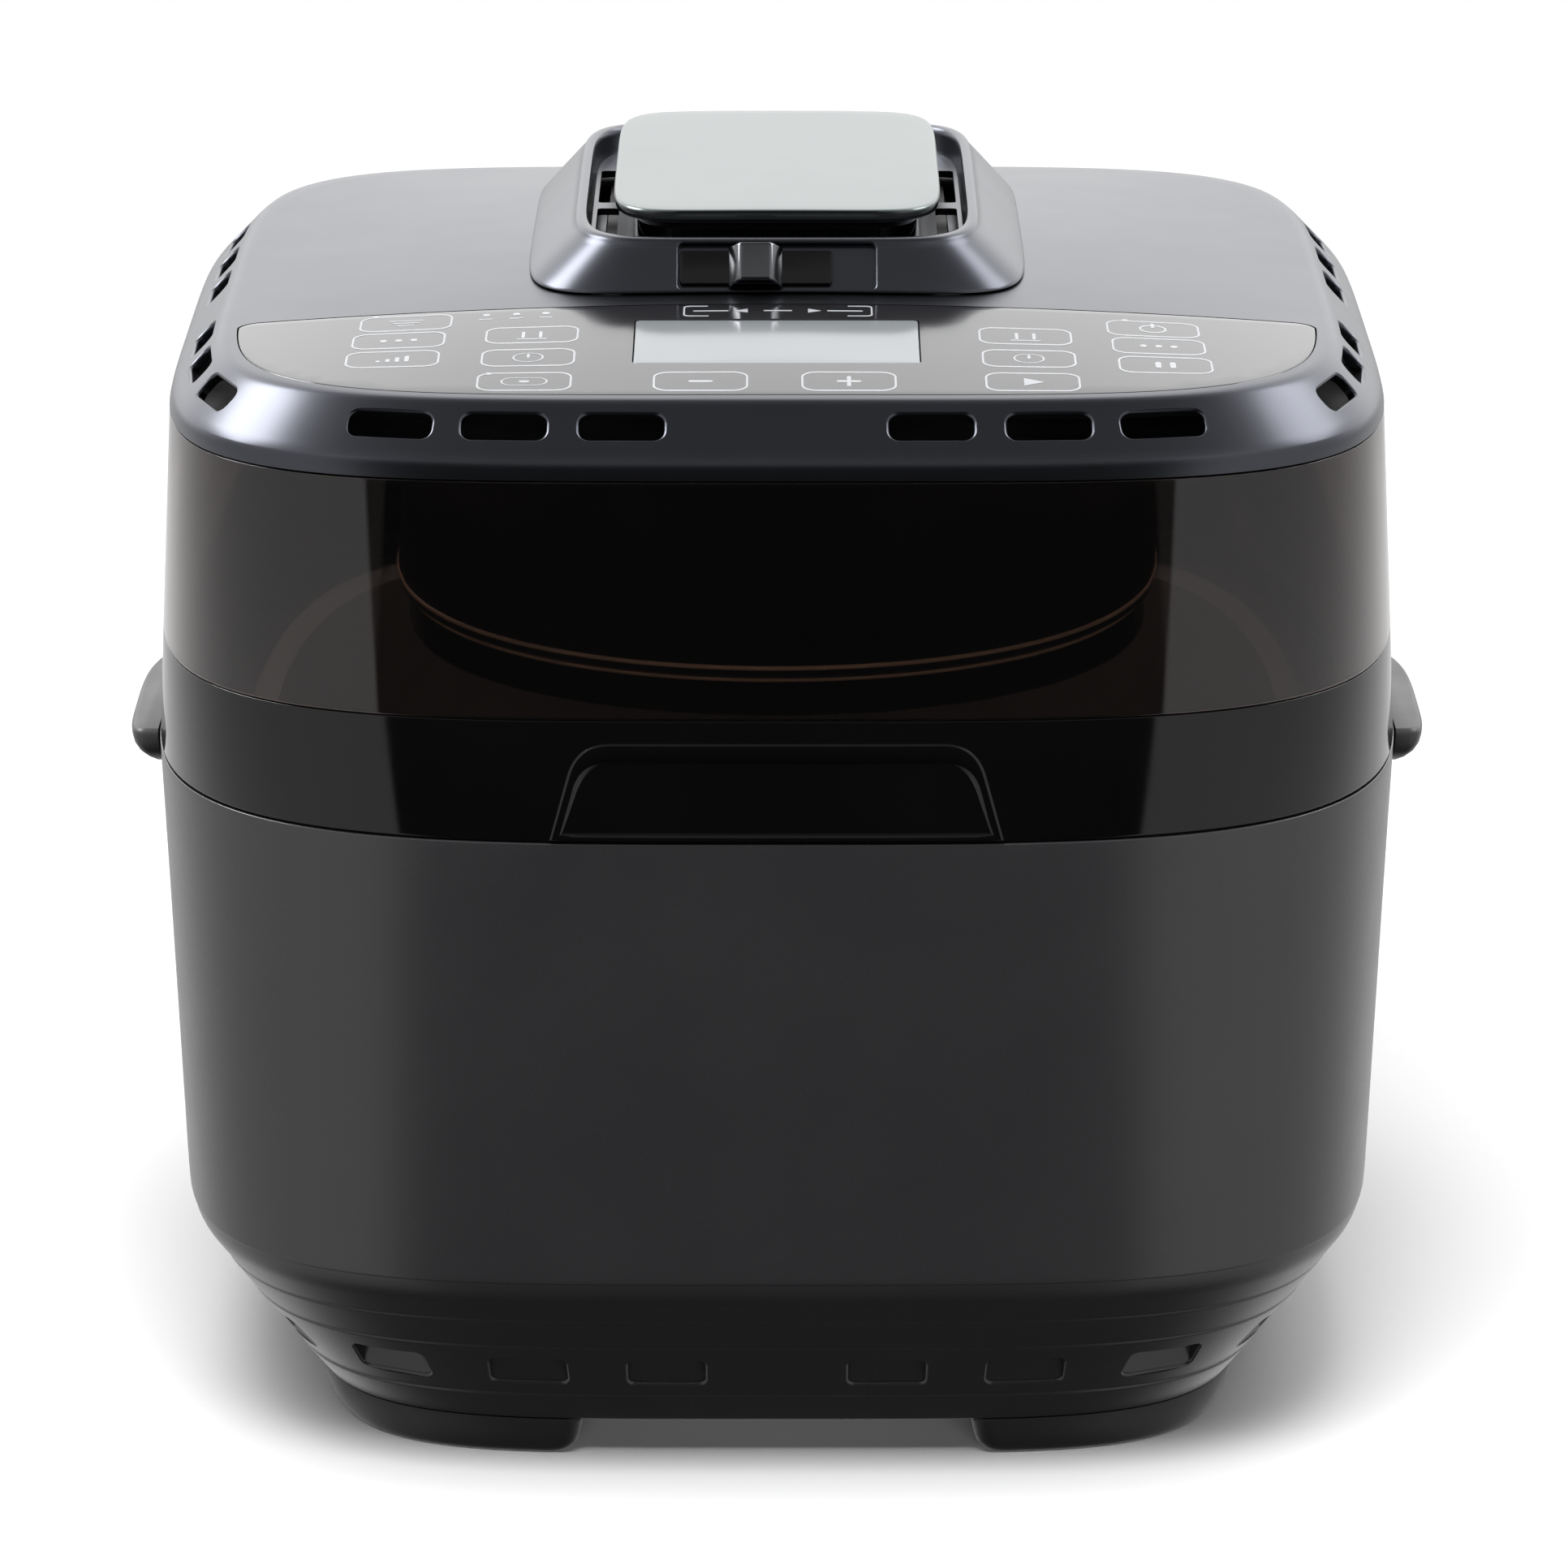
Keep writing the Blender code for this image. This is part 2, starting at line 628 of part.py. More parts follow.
def slider_frame():
    """The middle of the collar's sloped front face, with Z out of it and X along the slide."""
    low = Vector((0.0, HANDLE_Y - COLLAR_FOOT[1], dome(0.0, HANDLE_Y - COLLAR_FOOT[1]) + COLLAR_LIP))
    high = Vector((0.0, HANDLE_Y - COLLAR_SHOULDER[1], COLLAR_RIM - 0.6))
    slope = high - low
    tilt = math.pi / 2 - math.atan2(slope.z, slope.y)
    return face_frame((low + high) / 2, -math.pi / 2, tilt)


RECESS_HALF = (27.8, 7.1)
RECESS_DEPTH = 2.4
SLIDE_LEFT = -27.4
SLIDE_HALF = (21.5, 5.2)
LEVER_X = -6.0


def handle_collar():
    foot = dome_less(-GAP)
    lip = dome_less(-COLLAR_LIP)
    sections = [collar_section(59.5, 81.5, 323.0), collar_section(66.5, 88.8, foot),
                collar_section(*COLLAR_FOOT, foot), collar_section(*COLLAR_FOOT, lip),
                collar_section(*COLLAR_SHOULDER, COLLAR_RIM - 0.6), collar_section(56.6, 83.4, COLLAR_RIM),
                collar_section(54.4, 80.4, COLLAR_RIM), collar_section(54.0, 80.0, COLLAR_FLOOR)]
    collar = loft("handle_collar", sections, GUNMETAL)
    face = slider_frame()
    cuts = bmesh.new()
    add_prism(cuts, rounded_box(*RECESS_HALF, 1.5), -RECESS_DEPTH, 6.0, face)
    combine(collar, cuts)
    slits = bmesh.new()
    middle = LEVER_X + SLIDER_TRAVEL / 2
    outline = moved(rounded_box(4.6 + SLIDER_TRAVEL / 2, 1.9, 0.8, 1), (middle, 0.0))
    add_prism(slits, outline, -16.0, -1.0, face)
    for side in (-1, 1):
        for low, high in ((-18.0, 34.0), (42.0, 88.0)):
            outline = moved(rounded_box(3.2, (high - low) / 2, 1.5, 2), (side * 49.2, (low + high) / 2))
            add_prism(slits, outline, 320.0, 329.0)
    combine(collar, slits)


def handle_post():
    centre = (0.0, HANDLE_Y - 1.3)
    low = COLLAR_FLOOR + GAP
    sizes = [(41.2, 66.7, 333.4), (41.2, 66.7, low), (43.6, 69.1, low), (43.6, 69.1, 335.4)]
    sections = [section(rounded_box(half_x, half_y, 9.0, 4), z, centre) for half_x, half_y, z in sizes]
    loft("handle_post", sections, GLOSS_BLACK)


def handle_cap():
    centre = (0.0, HANDLE_Y - 1.3)
    sizes = [(45.4, 70.8, 335.7), (46.8, 72.2, 336.7), (46.8, 72.2, CAP_TOP - 1.0), (45.8, 71.2, CAP_TOP)]
    sections = [section(rounded_box(half_x, half_y, 11.0, 5), z, centre) for half_x, half_y, z in sizes]
    loft("handle_cap", sections, SATIN_METAL)


def vent_slots(centre_y, half_length, low, high):
    mesh = bmesh.new()
    for column in (-1, 0, 1):
        outline = moved(rounded_box(5.0, half_length, 2.0, 2), (column * VENT_PITCH, centre_y))
        add_prism(mesh, outline, low, high)
    return mesh


def vent_grille():
    outline = moved(rounded_box(49.5, 57.5, 8.0), (0.0, HANDLE_Y))
    grille = prism("vent_grille", outline, 317.6, 320.1, MATTE_BLACK)
    combine(grille, vent_slots(HANDLE_Y, 46.0, 315.0, 323.0))


def vent_slider():
    """The slide plate with its finger ridge and tongue, and the shutter plate that the tongue drives."""
    outline = moved(rounded_box(36.0, 66.0, 4.0, 2), (0.0, 24.5))
    shutter = prism("vent_shutter", outline, 320.5, 322.4, GUNMETAL)
    combine(shutter, vent_slots(HANDLE_Y, 46.0, 315.0, 325.0))
    face = slider_frame()
    mesh = bmesh.new()
    plate = moved(rounded_box(*SLIDE_HALF, 1.2, 2), (SLIDE_LEFT + SLIDE_HALF[0], 0.0))
    add_prism(mesh, plate, -2.1, -0.7, face)
    lever = add_object("vent_lever", mesh, GLOSS_BLACK)
    parts = bmesh.new()
    ridge = [((7.6, 6.2), -1.2), ((7.6, 6.2), -0.2), ((4.1, 5.7), 3.9)]
    sections = [section(moved(rounded_box(*half, 0.8, 1), (LEVER_X, 0.0)), z) for half, z in ridge]
    add_loft(parts, [[face @ point for point in points] for points in sections])
    add_prism(parts, moved(rounded_box(4.0, 1.3, 0.4, 1), (LEVER_X, 0.0)), -8.4, -2.0, face)
    combine(lever, parts, "UNION")


# ---------------------------------------------------------------- the heater housing

def heater_drum():
    profile = [(118.0, 290.7), (118.0, 288.7), (111.5, 288.7), (111.5, 225.0), (107.5, 223.0), (107.5, 213.5),
               (105.5, 213.5), (105.5, 224.0), (109.5, 226.0), (109.5, 290.7)]
    turned("heater_drum", profile, COATED_STEEL)


def heater_partition():
    turned("heater_partition", [(109.2, 248.0), (109.2, 246.5), (3.8, 246.5), (3.8, 248.0)], STEEL)


def element_guard():
    guard = prism("element_guard", circle(105.2, 40), 216.0, 217.6, STEEL)
    holes = bmesh.new()
    for ring, count in ((38.0, 6), (78.0, 12)):
        for i in range(count):
            turn = 2 * math.pi * i / count
            add_prism(holes, circle(14.5, 8, (ring * math.cos(turn), ring * math.sin(turn))), 213.0, 220.0)
    add_prism(holes, circle(12.0, 10), 213.0, 220.0)
    combine(guard, holes)


def heating_element():
    """A coil of nearly two turns round the fan, with both ends turned up to the partition."""
    turns, count, height = 1.8, 46, 233.0
    data = bpy.data.curves.new("heating_element", "CURVE")
    data.dimensions = "3D"
    data.bevel_depth = 3.2 * MM
    data.bevel_resolution = 1
    data.use_fill_caps = True
    points = []
    for i in range(count + 1):
        share = i / count
        radius = 94.0 - 20.0 * share
        angle = 2 * math.pi * turns * share
        points.append(Vector((radius * math.cos(angle), radius * math.sin(angle), height)) * MM)
    lift = Vector((0.0, 0.0, 12.5)) * MM
    points = [points[0] + lift] + points + [points[-1] + lift]
    spline = data.splines.new("POLY")
    spline.points.add(len(points) - 1)
    for point, target in zip(spline.points, points):
        point.co = (*target, 1.0)
    made = bpy.data.objects.new("heating_element", data)
    data.materials.append(COPPER)
    PARTS.objects.link(made)


def fan(name, radius, disc, blades, hub_radius, count):
    """A pressed fan: a disc and a hub with a bore, and straight radial blades."""
    disc_low, disc_high = disc
    blade_low, blade_high = blades
    bore = SHAFT_RADIUS + GAP
    below = blade_low < disc_low
    profile = [(radius, disc_high), (radius, disc_low), (hub_radius, disc_low), (hub_radius, blade_low),
               (bore, blade_low), (bore, disc_high)]
    if not below:
        profile = [(hub_radius, blade_high), (hub_radius, disc_high), (radius, disc_high), (radius, disc_low),
                   (bore, disc_low), (bore, blade_high)]
    made = turned(name, profile, STEEL, 32)
    mesh = bmesh.new()
    half_length = (radius - hub_radius) / 2
    middle = (radius + hub_radius) / 2 - 0.6
    for i in range(count):
        spin = Matrix.Rotation(2 * math.pi * (i + 0.35) / count, 4, "Z")
        outline = moved(rounded_box(half_length, 0.6, 0.3, 1), (middle, 0.0))
        low, high = (blade_low + 0.4, disc_high - 0.4) if below else (disc_low + 0.4, blade_high - 0.4)
        add_prism(mesh, outline, low, high, spin)
    combine(made, mesh, "UNION")


def fan_rotor():
    mesh = bmesh.new()
    add_prism(mesh, circle(SHAFT_RADIUS, 16), 224.0, 288.0)
    add_object("fan_shaft", mesh, STEEL)
    fan("convection_fan", 58.0, (241.0, 242.4), (226.0, 241.0), 9.0, 8)
    fan("cooling_fan", 46.0, (279.0, 280.4), (280.0, 287.0), 9.0, 10)


def fan_motor():
    bore = SHAFT_RADIUS + 0.5
    profile = [(34.0, 276.0), (34.0, 256.0), (42.0, 256.0), (42.0, 248.3), (bore, 248.3), (bore, 276.0)]
    turned("fan_motor", profile, STEEL, 32)


def temperature_probe():
    place = (101.2 * math.cos(math.pi / 4), 101.2 * math.sin(math.pi / 4))
    prism("temperature_probe", circle(2.2, 12, place), 220.0, 246.2, STEEL)


base_shell()
base_floor()
feet()
side_handles()
inner_liner()
rotisserie()
cooking_pot()
crisper_plate()
lid_skirt()
pull_hood()
lid_gasket()
window_band()
head_cover()
control_panel()
display_window()
boards()
head_deck()
deck_screws()
cord_gland()
handle_collar()
handle_post()
handle_cap()
vent_grille()
vent_slider()
heater_drum()
heater_partition()
element_guard()
heating_element()
fan_rotor()
fan_motor()
temperature_probe()
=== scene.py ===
"""Looks of the counter-top air fryer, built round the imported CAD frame.

Lengths in the helpers are millimetres unless a name ends in _M; the scene itself is in metres. The origin is
on the table, in the middle of the base; +Z is up and the control panel faces -Y.
"""

import math

import bmesh
import bpy
from mathutils import Matrix, Vector
from mathutils.bvhtree import BVHTree
from mathutils.geometry import barycentric_transform, delaunay_2d_cdt


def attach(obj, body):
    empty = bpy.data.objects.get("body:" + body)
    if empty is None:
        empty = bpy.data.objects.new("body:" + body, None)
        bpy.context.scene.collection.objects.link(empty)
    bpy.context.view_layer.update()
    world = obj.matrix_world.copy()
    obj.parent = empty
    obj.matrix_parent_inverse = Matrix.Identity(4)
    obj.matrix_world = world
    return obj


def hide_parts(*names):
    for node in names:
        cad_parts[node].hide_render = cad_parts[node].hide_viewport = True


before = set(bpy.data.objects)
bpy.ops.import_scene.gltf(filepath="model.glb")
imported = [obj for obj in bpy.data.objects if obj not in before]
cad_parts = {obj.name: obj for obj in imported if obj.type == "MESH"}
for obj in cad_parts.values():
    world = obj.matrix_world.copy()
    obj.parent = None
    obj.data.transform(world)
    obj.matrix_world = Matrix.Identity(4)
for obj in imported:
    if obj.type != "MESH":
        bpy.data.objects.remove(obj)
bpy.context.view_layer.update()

MM = 0.001
FINE = 256
HANDLE_Y = 38.7
TOP_EDGE, DOME_RISE, DOME_HALF, TOP_POWER = 312.5, 7.6, 155.8, 5.2
RIM_POWER = 3.66

PIECES = []


# ---------------------------------------------------------------- outlines

def squircle(half_x, half_y, power, count=FINE):
    points = []
    for i in range(count):
        turn = 2 * math.pi * i / count
        along, across = math.cos(turn), math.sin(turn)
        reach = (abs(along) ** power + abs(across) ** power) ** (-1 / power)
        points.append((half_x * reach * along, half_y * reach * across))
    return points


def rounded_box(half_x, half_y, radius, steps=8):
    points = []
    for corner in range(4):
        middle = math.pi / 4 + corner * math.pi / 2
        centre_x = math.copysign(half_x - radius, math.cos(middle))
        centre_y = math.copysign(half_y - radius, math.sin(middle))
        for step in range(steps + 1):
            turn = corner * math.pi / 2 + step / steps * math.pi / 2
            points.append((centre_x + radius * math.cos(turn), centre_y + radius * math.sin(turn)))
    return points


def moved(outline, centre):
    return [(x + centre[0], y + centre[1]) for x, y in outline]


def side_reach(half, power, offset):
    return half * (1 - abs(offset / half) ** power) ** (1 / power)


def side_normal(half, power, offset):
    reach = side_reach(half, power, offset)
    across = math.copysign(abs(offset / half) ** (power - 1), offset)
    return math.atan2(-((reach / half) ** (power - 1)), across)


def dome(x, y):
    return TOP_EDGE + DOME_RISE * (1 - (x / DOME_HALF) ** 2) * (1 - (y / DOME_HALF) ** 2)


def flat(height):
    return lambda x, y: height


# ---------------------------------------------------------------- meshes

def spline(rows, steps):
    """A smooth curve through rows of numbers (Catmull-Rom)."""
    made = []
    for i in range(len(rows) - 1):
        before, here = rows[max(i - 1, 0)], rows[i]
        after, later = rows[i + 1], rows[min(i + 2, len(rows) - 1)]
        for step in range(steps):
            t = step / steps
            made.append(tuple(
                0.5 * (2 * b + (c - a) * t + (2 * a - 5 * b + 4 * c - d) * t * t
                       + (3 * b - a - 3 * c + d) * t ** 3)
                for a, b, c, d in zip(before, here, after, later)))
    made.append(tuple(rows[-1]))
    return made


def rounded(points, closed=False, steps=5):
    """Rounds a profile of (half, z, power, reach) and gives back (half, z, power)."""
    made = []
    count = len(points)
    for i, (half, z, power, reach) in enumerate(points):
        if reach == 0 or (not closed and i in (0, count - 1)):
            made.append((half, z, power))
            continue
        here = Vector((half, z))
        ends = []
        for other in (points[i - 1], points[(i + 1) % count]):
            way = Vector(other[:2]) - here
            share = min(reach / way.length, 0.48)
            ends.append((here + way * share, power + (other[2] - power) * share))
        for step in range(steps + 1):
            t = step / steps
            spot = ends[0][0] * (1 - t) ** 2 + here * 2 * t * (1 - t) + ends[1][0] * t * t
            made.append((spot.x, spot.y, ends[0][1] * (1 - t) + ends[1][1] * t))
    return made


def plan_rows(profile, centre=(0.0, 0.0), stretch=1.0, count=FINE):
    """Horizontal rings of a square plan, from (half, z, power)."""
    return [[Vector((x + centre[0], y + centre[1], z)) * MM
             for x, y in squircle(half, half * stretch, power, count)] for half, z, power in profile]


def heights(outline, height):
    """An outline in mm set at a height, which is a function of x and y."""
    return [Vector((x, y, height(x, y))) * MM for x, y in outline]


def skin(mesh, rows, closed=False, cap_first=True, cap_last=True):
    made = [[mesh.verts.new(point) for point in row] for row in rows]
    pairs = list(zip(made, made[1:]))
    if closed:
        pairs.append((made[-1], made[0]))
    faces = []
    count = len(rows[0])
    for low, high in pairs:
        for i in range(count):
            j = (i + 1) % count
            faces.append(mesh.faces.new((low[i], low[j], high[j], high[i])))
    if not closed and cap_first:
        faces.append(mesh.faces.new(made[0]))
    if not closed and cap_last:
        faces.append(mesh.faces.new(made[-1]))
    return faces


def outward(mesh):
    bmesh.ops.recalc_face_normals(mesh, faces=mesh.faces[:])


def finish_mesh(data, angle=32.0):
    data.shade_smooth()
    data.set_sharp_from_angle(angle=math.radians(angle))


def add_piece(name, mesh, look, body, slot, stands_for=(), angle=32.0, tidy=True):
    if tidy:
        outward(mesh)
    data = bpy.data.meshes.new(name)
    mesh.to_mesh(data)
    mesh.free()
    data.materials.append(look)
    finish_mesh(data, angle)
    made = bpy.data.objects.new(name, data)
    bpy.context.scene.collection.objects.link(made)
    PIECES.append((made, body, slot, stands_for))
    return made


def lofted(name, rows, look, body, slot, stands_for=(), closed=False, angle=32.0):
    mesh = bmesh.new()
    skin(mesh, rows, closed)
    return add_piece(name, mesh, look, body, slot, stands_for, angle)


def prism_into(mesh, outline, low, high, place=None):
    place = place or Matrix.Identity(4)
    rows = [[place @ (Vector((x, y, z)) * MM) for x, y in outline] for z in (low, high)]
    skin(mesh, rows)


def cut(made, mesh, angle=32.0):
    """Takes the closed bodies of a bmesh away from a piece, and keeps the shading of what stays."""
    outward(mesh)
    source = made.data
    source.calc_loop_triangles()
    corners = [normal.vector.copy() for normal in source.corner_normals]
    points = [vertex.co.copy() for vertex in source.vertices]
    triangles = [(tuple(tri.vertices), tuple(tri.loops)) for tri in source.loop_triangles]
    tree = BVHTree.FromPolygons(points, [tri[0] for tri in triangles])
    data = bpy.data.meshes.new("cutter")
    mesh.to_mesh(data)
    mesh.free()
    cutter = bpy.data.objects.new("cutter", data)
    bpy.context.scene.collection.objects.link(cutter)
    boolean = made.modifiers.new("Cut", "BOOLEAN")
    boolean.operation = "DIFFERENCE"
    boolean.object = cutter
    bpy.context.view_layer.update()
    result = bpy.data.meshes.new_from_object(made.evaluated_get(bpy.context.evaluated_depsgraph_get()))
    made.modifiers.clear()
    bpy.data.objects.remove(cutter)
    made.data = result
    finish_mesh(result, angle)
    same = 0.00002
    normals = [(0.0, 0.0, 0.0)] * len(result.loops)
    for face in result.polygons:
        centre = Vector(face.center)
        spot, facing, index, distance = tree.find_nearest(centre)
        if distance > same or facing.dot(face.normal) < 0.9:
            continue
        for loop in face.loop_indices:
            vertex = result.vertices[result.loops[loop].vertex_index].co
            spot, facing, index, distance = tree.find_nearest(vertex.lerp(centre, 0.03))
            ids, loops = triangles[index]
            shade = barycentric_transform(spot, *[points[i] for i in ids], *[corners[i] for i in loops])
            normals[loop] = tuple(shade.normalized())
    result.normals_split_custom_set(normals)
    return made


def tree_of(made):
    data = made.data
    corners = [v.co.copy() for v in data.vertices]
    return BVHTree.FromPolygons(corners, [tuple(p.vertices) for p in data.polygons])


def face_frame(point, azimuth, tilt):
    """A matrix with its Z out of a face at a point in mm, X level along it and Y up it."""
    out = Vector((math.cos(azimuth) * math.cos(tilt), math.sin(azimuth) * math.cos(tilt), math.sin(tilt)))
    level = Vector((-math.sin(azimuth), math.cos(azimuth), 0.0))
    turn = Matrix((level, out.cross(level), out)).transposed().to_4x4()
    return Matrix.Translation(Vector(point) * MM) @ turn


def slot_places(half, power, rows, tilt, height):
    places = []
    for turn, offsets in enumerate(rows):
        for offset in offsets:
            point = Vector((offset, -side_reach(half, power, offset), height))
            place = face_frame(point, side_normal(half, power, offset), tilt)
            places.append(Matrix.Rotation(turn * math.pi / 2, 4, "Z") @ place)
    return places


def pocket_rows(tree, place, outline_at, profile):
    """Rings that start on a surface and go into it, from (grow, depth) in mm."""
    out = (place.to_3x3() @ Vector((0, 0, 1))).normalized()
    rows = []
    for grow, depth in profile:
        row = []
        for x, y in outline_at(grow):
            start = place @ (Vector((x, y, 12.0)) * MM)
            hit = tree.ray_cast(start, -out)[0]
            if hit is None:
                hit = place @ (Vector((x, y, 0.0)) * MM)
            row.append(hit - out * depth * MM)
        rows.append(row)
    return rows


def add_pockets(made, tree, places, size, profile, floor, upright=None):
    """Builds rounded pockets for a piece whose surface has been cut to their mouths, and gives them back as
    mesh data to join to it.

    With upright, the floor is vertical, at that distance in mm behind the middle of the mouth.
    """
    width, height, radius = size
    mesh = bmesh.new()
    for place in places:
        rows = pocket_rows(tree, place,
                           lambda grow: rounded_box(width / 2 + grow, height / 2 + grow, radius + grow, 6),
                           profile)
        if upright:
            level = place.to_3x3() @ Vector((0, 0, 1))
            level = Vector((level.x, level.y, 0.0)).normalized()
            rear = place.translation.dot(level) - upright * MM
            rows.append([point - level * (point.dot(level) - rear) for point in rows[-1]])
        faces = skin(mesh, rows, cap_first=False, cap_last=floor)
        out = (place.to_3x3() @ Vector((0, 0, 1))).normalized()
        middle = place.translation
        for face in faces:
            face.normal_update()
            inward = middle - face.calc_center_median()
            inward = inward - out * inward.dot(out) + out * 0.0005
            if face.normal.dot(inward) < 0:
                face.normal_flip()
    data = bpy.data.meshes.new("pockets")
    mesh.to_mesh(data)
    mesh.free()
    data.materials.append(made.data.materials[0])
    finish_mesh(data)
    return data


def mouths(places, size, grow, depth, rise=12.0):
    width, height, radius = size
    mesh = bmesh.new()
    for place in places:
        outline = rounded_box(width / 2 + grow, height / 2 + grow, radius + grow, 6)
        prism_into(mesh, outline, -depth, rise, place)
    return mesh


def join_mesh(made, extra):
    """Adds a mesh's faces to a piece, keeping both shadings."""
    other = bpy.data.objects.new("extra", extra)
    bpy.context.scene.collection.objects.link(other)
    for each in bpy.context.selected_objects:
        each.select_set(False)
    made.select_set(True)
    other.select_set(True)
    bpy.context.view_layer.objects.active = made
    bpy.ops.object.join()


def inside(point, outline):
    x, y = point
    hit = False
    for (x1, y1), (x2, y2) in zip(outline, outline[1:] + outline[:1]):
        if (y1 > y) != (y2 > y) and x < (x2 - x1) * (y - y1) / (y2 - y1) + x1:
            hit = not hit
    return hit


def plate(name, outline_at, height, rows, grid, look, body, slot, stands_for=()):
    """A sheet whose top follows a height function, with an edge made of (grow, drop) rows in mm."""
    mesh = bmesh.new()
    plate_into(mesh, outline_at, height, rows, grid)
    return add_piece(name, mesh, look, body, slot, stands_for)


def plate_into(mesh, outline_at, height, rows, grid):
    edge = outline_at(rows[0][0])
    shrunk = outline_at(rows[0][0] - grid * 0.35)
    xs, ys = [x for x, y in edge], [y for x, y in edge]
    free = []
    for i in range(int((max(xs) - min(xs)) / grid) + 1):
        for j in range(int((max(ys) - min(ys)) / grid) + 1):
            point = (min(xs) + (i + 0.5) * grid, min(ys) + (j + 0.5) * grid)
            if inside(point, shrunk):
                free.append(point)
    points = [Vector(point) for point in edge + free]
    found = delaunay_2d_cdt(points, [], [list(range(len(edge)))], 1, 1e-6)
    top = [mesh.verts.new(Vector((p.x, p.y, height(p.x, p.y) - rows[0][1])) * MM) for p in found[0]]
    for face in found[2]:
        mesh.faces.new([top[i] for i in face])
    index_of = {}
    for new, olds in enumerate(found[3]):
        for old in olds:
            index_of[old] = new
    previous = [top[index_of[i]] for i in range(len(edge))]
    for grow, drop in rows[1:]:
        ring = [mesh.verts.new(Vector((x, y, height(x, y) - drop)) * MM) for x, y in outline_at(grow)]
        for i in range(len(ring)):
            j = (i + 1) % len(ring)
            mesh.faces.new((previous[i], previous[j], ring[j], ring[i]))
        previous = ring
    mesh.faces.new(previous)


# ---------------------------------------------------------------- materials

def new_material(name):
    made = bpy.data.materials.new(name)
    made.use_nodes = True
    return made, made.node_tree.nodes, made.node_tree.links, made.node_tree.nodes["Principled BSDF"]


def noise(nodes, links, size_mm, detail=2.0, stretch=None):
    place = nodes.new("ShaderNodeTexCoord")
    texture = nodes.new("ShaderNodeTexNoise")
    texture.inputs["Scale"].default_value = 1000.0 / size_mm
    texture.inputs["Detail"].default_value = detail
    if stretch:
        mapping = nodes.new("ShaderNodeMapping")
        mapping.inputs["Scale"].default_value = stretch
        links.new(place.outputs["Object"], mapping.inputs["Vector"])
        links.new(mapping.outputs["Vector"], texture.inputs["Vector"])
    else:
        links.new(place.outputs["Object"], texture.inputs["Vector"])
    return texture


def ranged(nodes, links, source, low, high, start=0.3, end=0.7):
    made = nodes.new("ShaderNodeMapRange")
    made.inputs["From Min"].default_value = start
    made.inputs["From Max"].default_value = end
    made.inputs["To Min"].default_value = low
    made.inputs["To Max"].default_value = high
    links.new(source, made.inputs["Value"])
    return made.outputs["Result"]


def blended(nodes, links, source, dark, light):
    made = nodes.new("ShaderNodeMix")
    made.data_type = "RGBA"
    made.inputs["A"].default_value = (*dark, 1.0)
    made.inputs["B"].default_value = (*light, 1.0)
    links.new(source, made.inputs["Factor"])
    return made.outputs["Result"]


def surface(name, dark, light, roughness, spread, grain_mm, grain_depth_mm, metallic=0.0, coat=0.0,
            coat_roughness=0.04, cloud_mm=45.0, ior=1.5, stretch=None, emission=0.0):
    """A surface with slow changes of tone and gloss, and a fine grain in its relief."""
    made, nodes, links, base = new_material(name)
    cloud = noise(nodes, links, cloud_mm, 3.0)
    share = ranged(nodes, links, cloud.outputs["Fac"], 0.0, 1.0)
    links.new(blended(nodes, links, share, dark, light), base.inputs["Base Color"])
    gloss = noise(nodes, links, cloud_mm * 0.4, 4.0)
    links.new(ranged(nodes, links, gloss.outputs["Fac"], roughness - spread, roughness + spread),
              base.inputs["Roughness"])
    grain = noise(nodes, links, grain_mm, 2.0, stretch)
    bump = nodes.new("ShaderNodeBump")
    bump.inputs["Strength"].default_value = 1.0
    bump.inputs["Distance"].default_value = grain_depth_mm * MM
    links.new(grain.outputs["Fac"], bump.inputs["Height"])
    links.new(bump.outputs["Normal"], base.inputs["Normal"])
    base.inputs["Metallic"].default_value = metallic
    base.inputs["IOR"].default_value = ior
    base.inputs["Coat Weight"].default_value = coat
    base.inputs["Coat Roughness"].default_value = coat_roughness
    if emission:
        base.inputs["Emission Color"].default_value = (*light, 1.0)
        base.inputs["Emission Strength"].default_value = emission
    return made


BASE_PLASTIC = surface("base_plastic", (0.0285, 0.0285, 0.0305), (0.0315, 0.0315, 0.0335),
                       0.27, 0.015, 0.5, 0.006, ior=1.62)
FOOT_PLASTIC = surface("foot_plastic", (0.010, 0.010, 0.011), (0.014, 0.014, 0.015), 0.5, 0.05, 0.6, 0.02)
HANDLE_PLASTIC = surface("handle_plastic", (0.045, 0.044, 0.045), (0.055, 0.054, 0.055),
                         0.40, 0.04, 0.5, 0.012)
COVER_PLASTIC = surface("cover_plastic", (0.089, 0.093, 0.108), (0.093, 0.097, 0.113),
                        0.30, 0.006, 0.5, 0.0003, metallic=1.0)
GLOSS_BLACK = surface("gloss_black", (0.0016, 0.0016, 0.0018), (0.0022, 0.0022, 0.0025),
                      0.06, 0.02, 3.0, 0.0006)
RIDGE_METAL = surface("ridge_metal", (0.16, 0.165, 0.175), (0.18, 0.185, 0.195),
                      0.16, 0.01, 0.5, 0.0003, metallic=1.0)
PANEL_FILM = surface("panel_film", (0.012, 0.012, 0.014), (0.014, 0.014, 0.016),
                     0.12, 0.01, 0.6, 0.0004, ior=1.65)
PRINT_INK = surface("print_ink", (0.34, 0.35, 0.37), (0.40, 0.41, 0.43), 0.30, 0.05, 0.3, 0.002)
DISPLAY_GLASS = surface("display_glass", (0.205, 0.22, 0.23), (0.23, 0.245, 0.255), 0.10, 0.01, 2.0, 0.0003)
CAP_METAL = surface("cap_metal", (0.162, 0.183, 0.181), (0.174, 0.196, 0.193),
                    0.26, 0.004, 0.4, 0.0002, metallic=1.0)
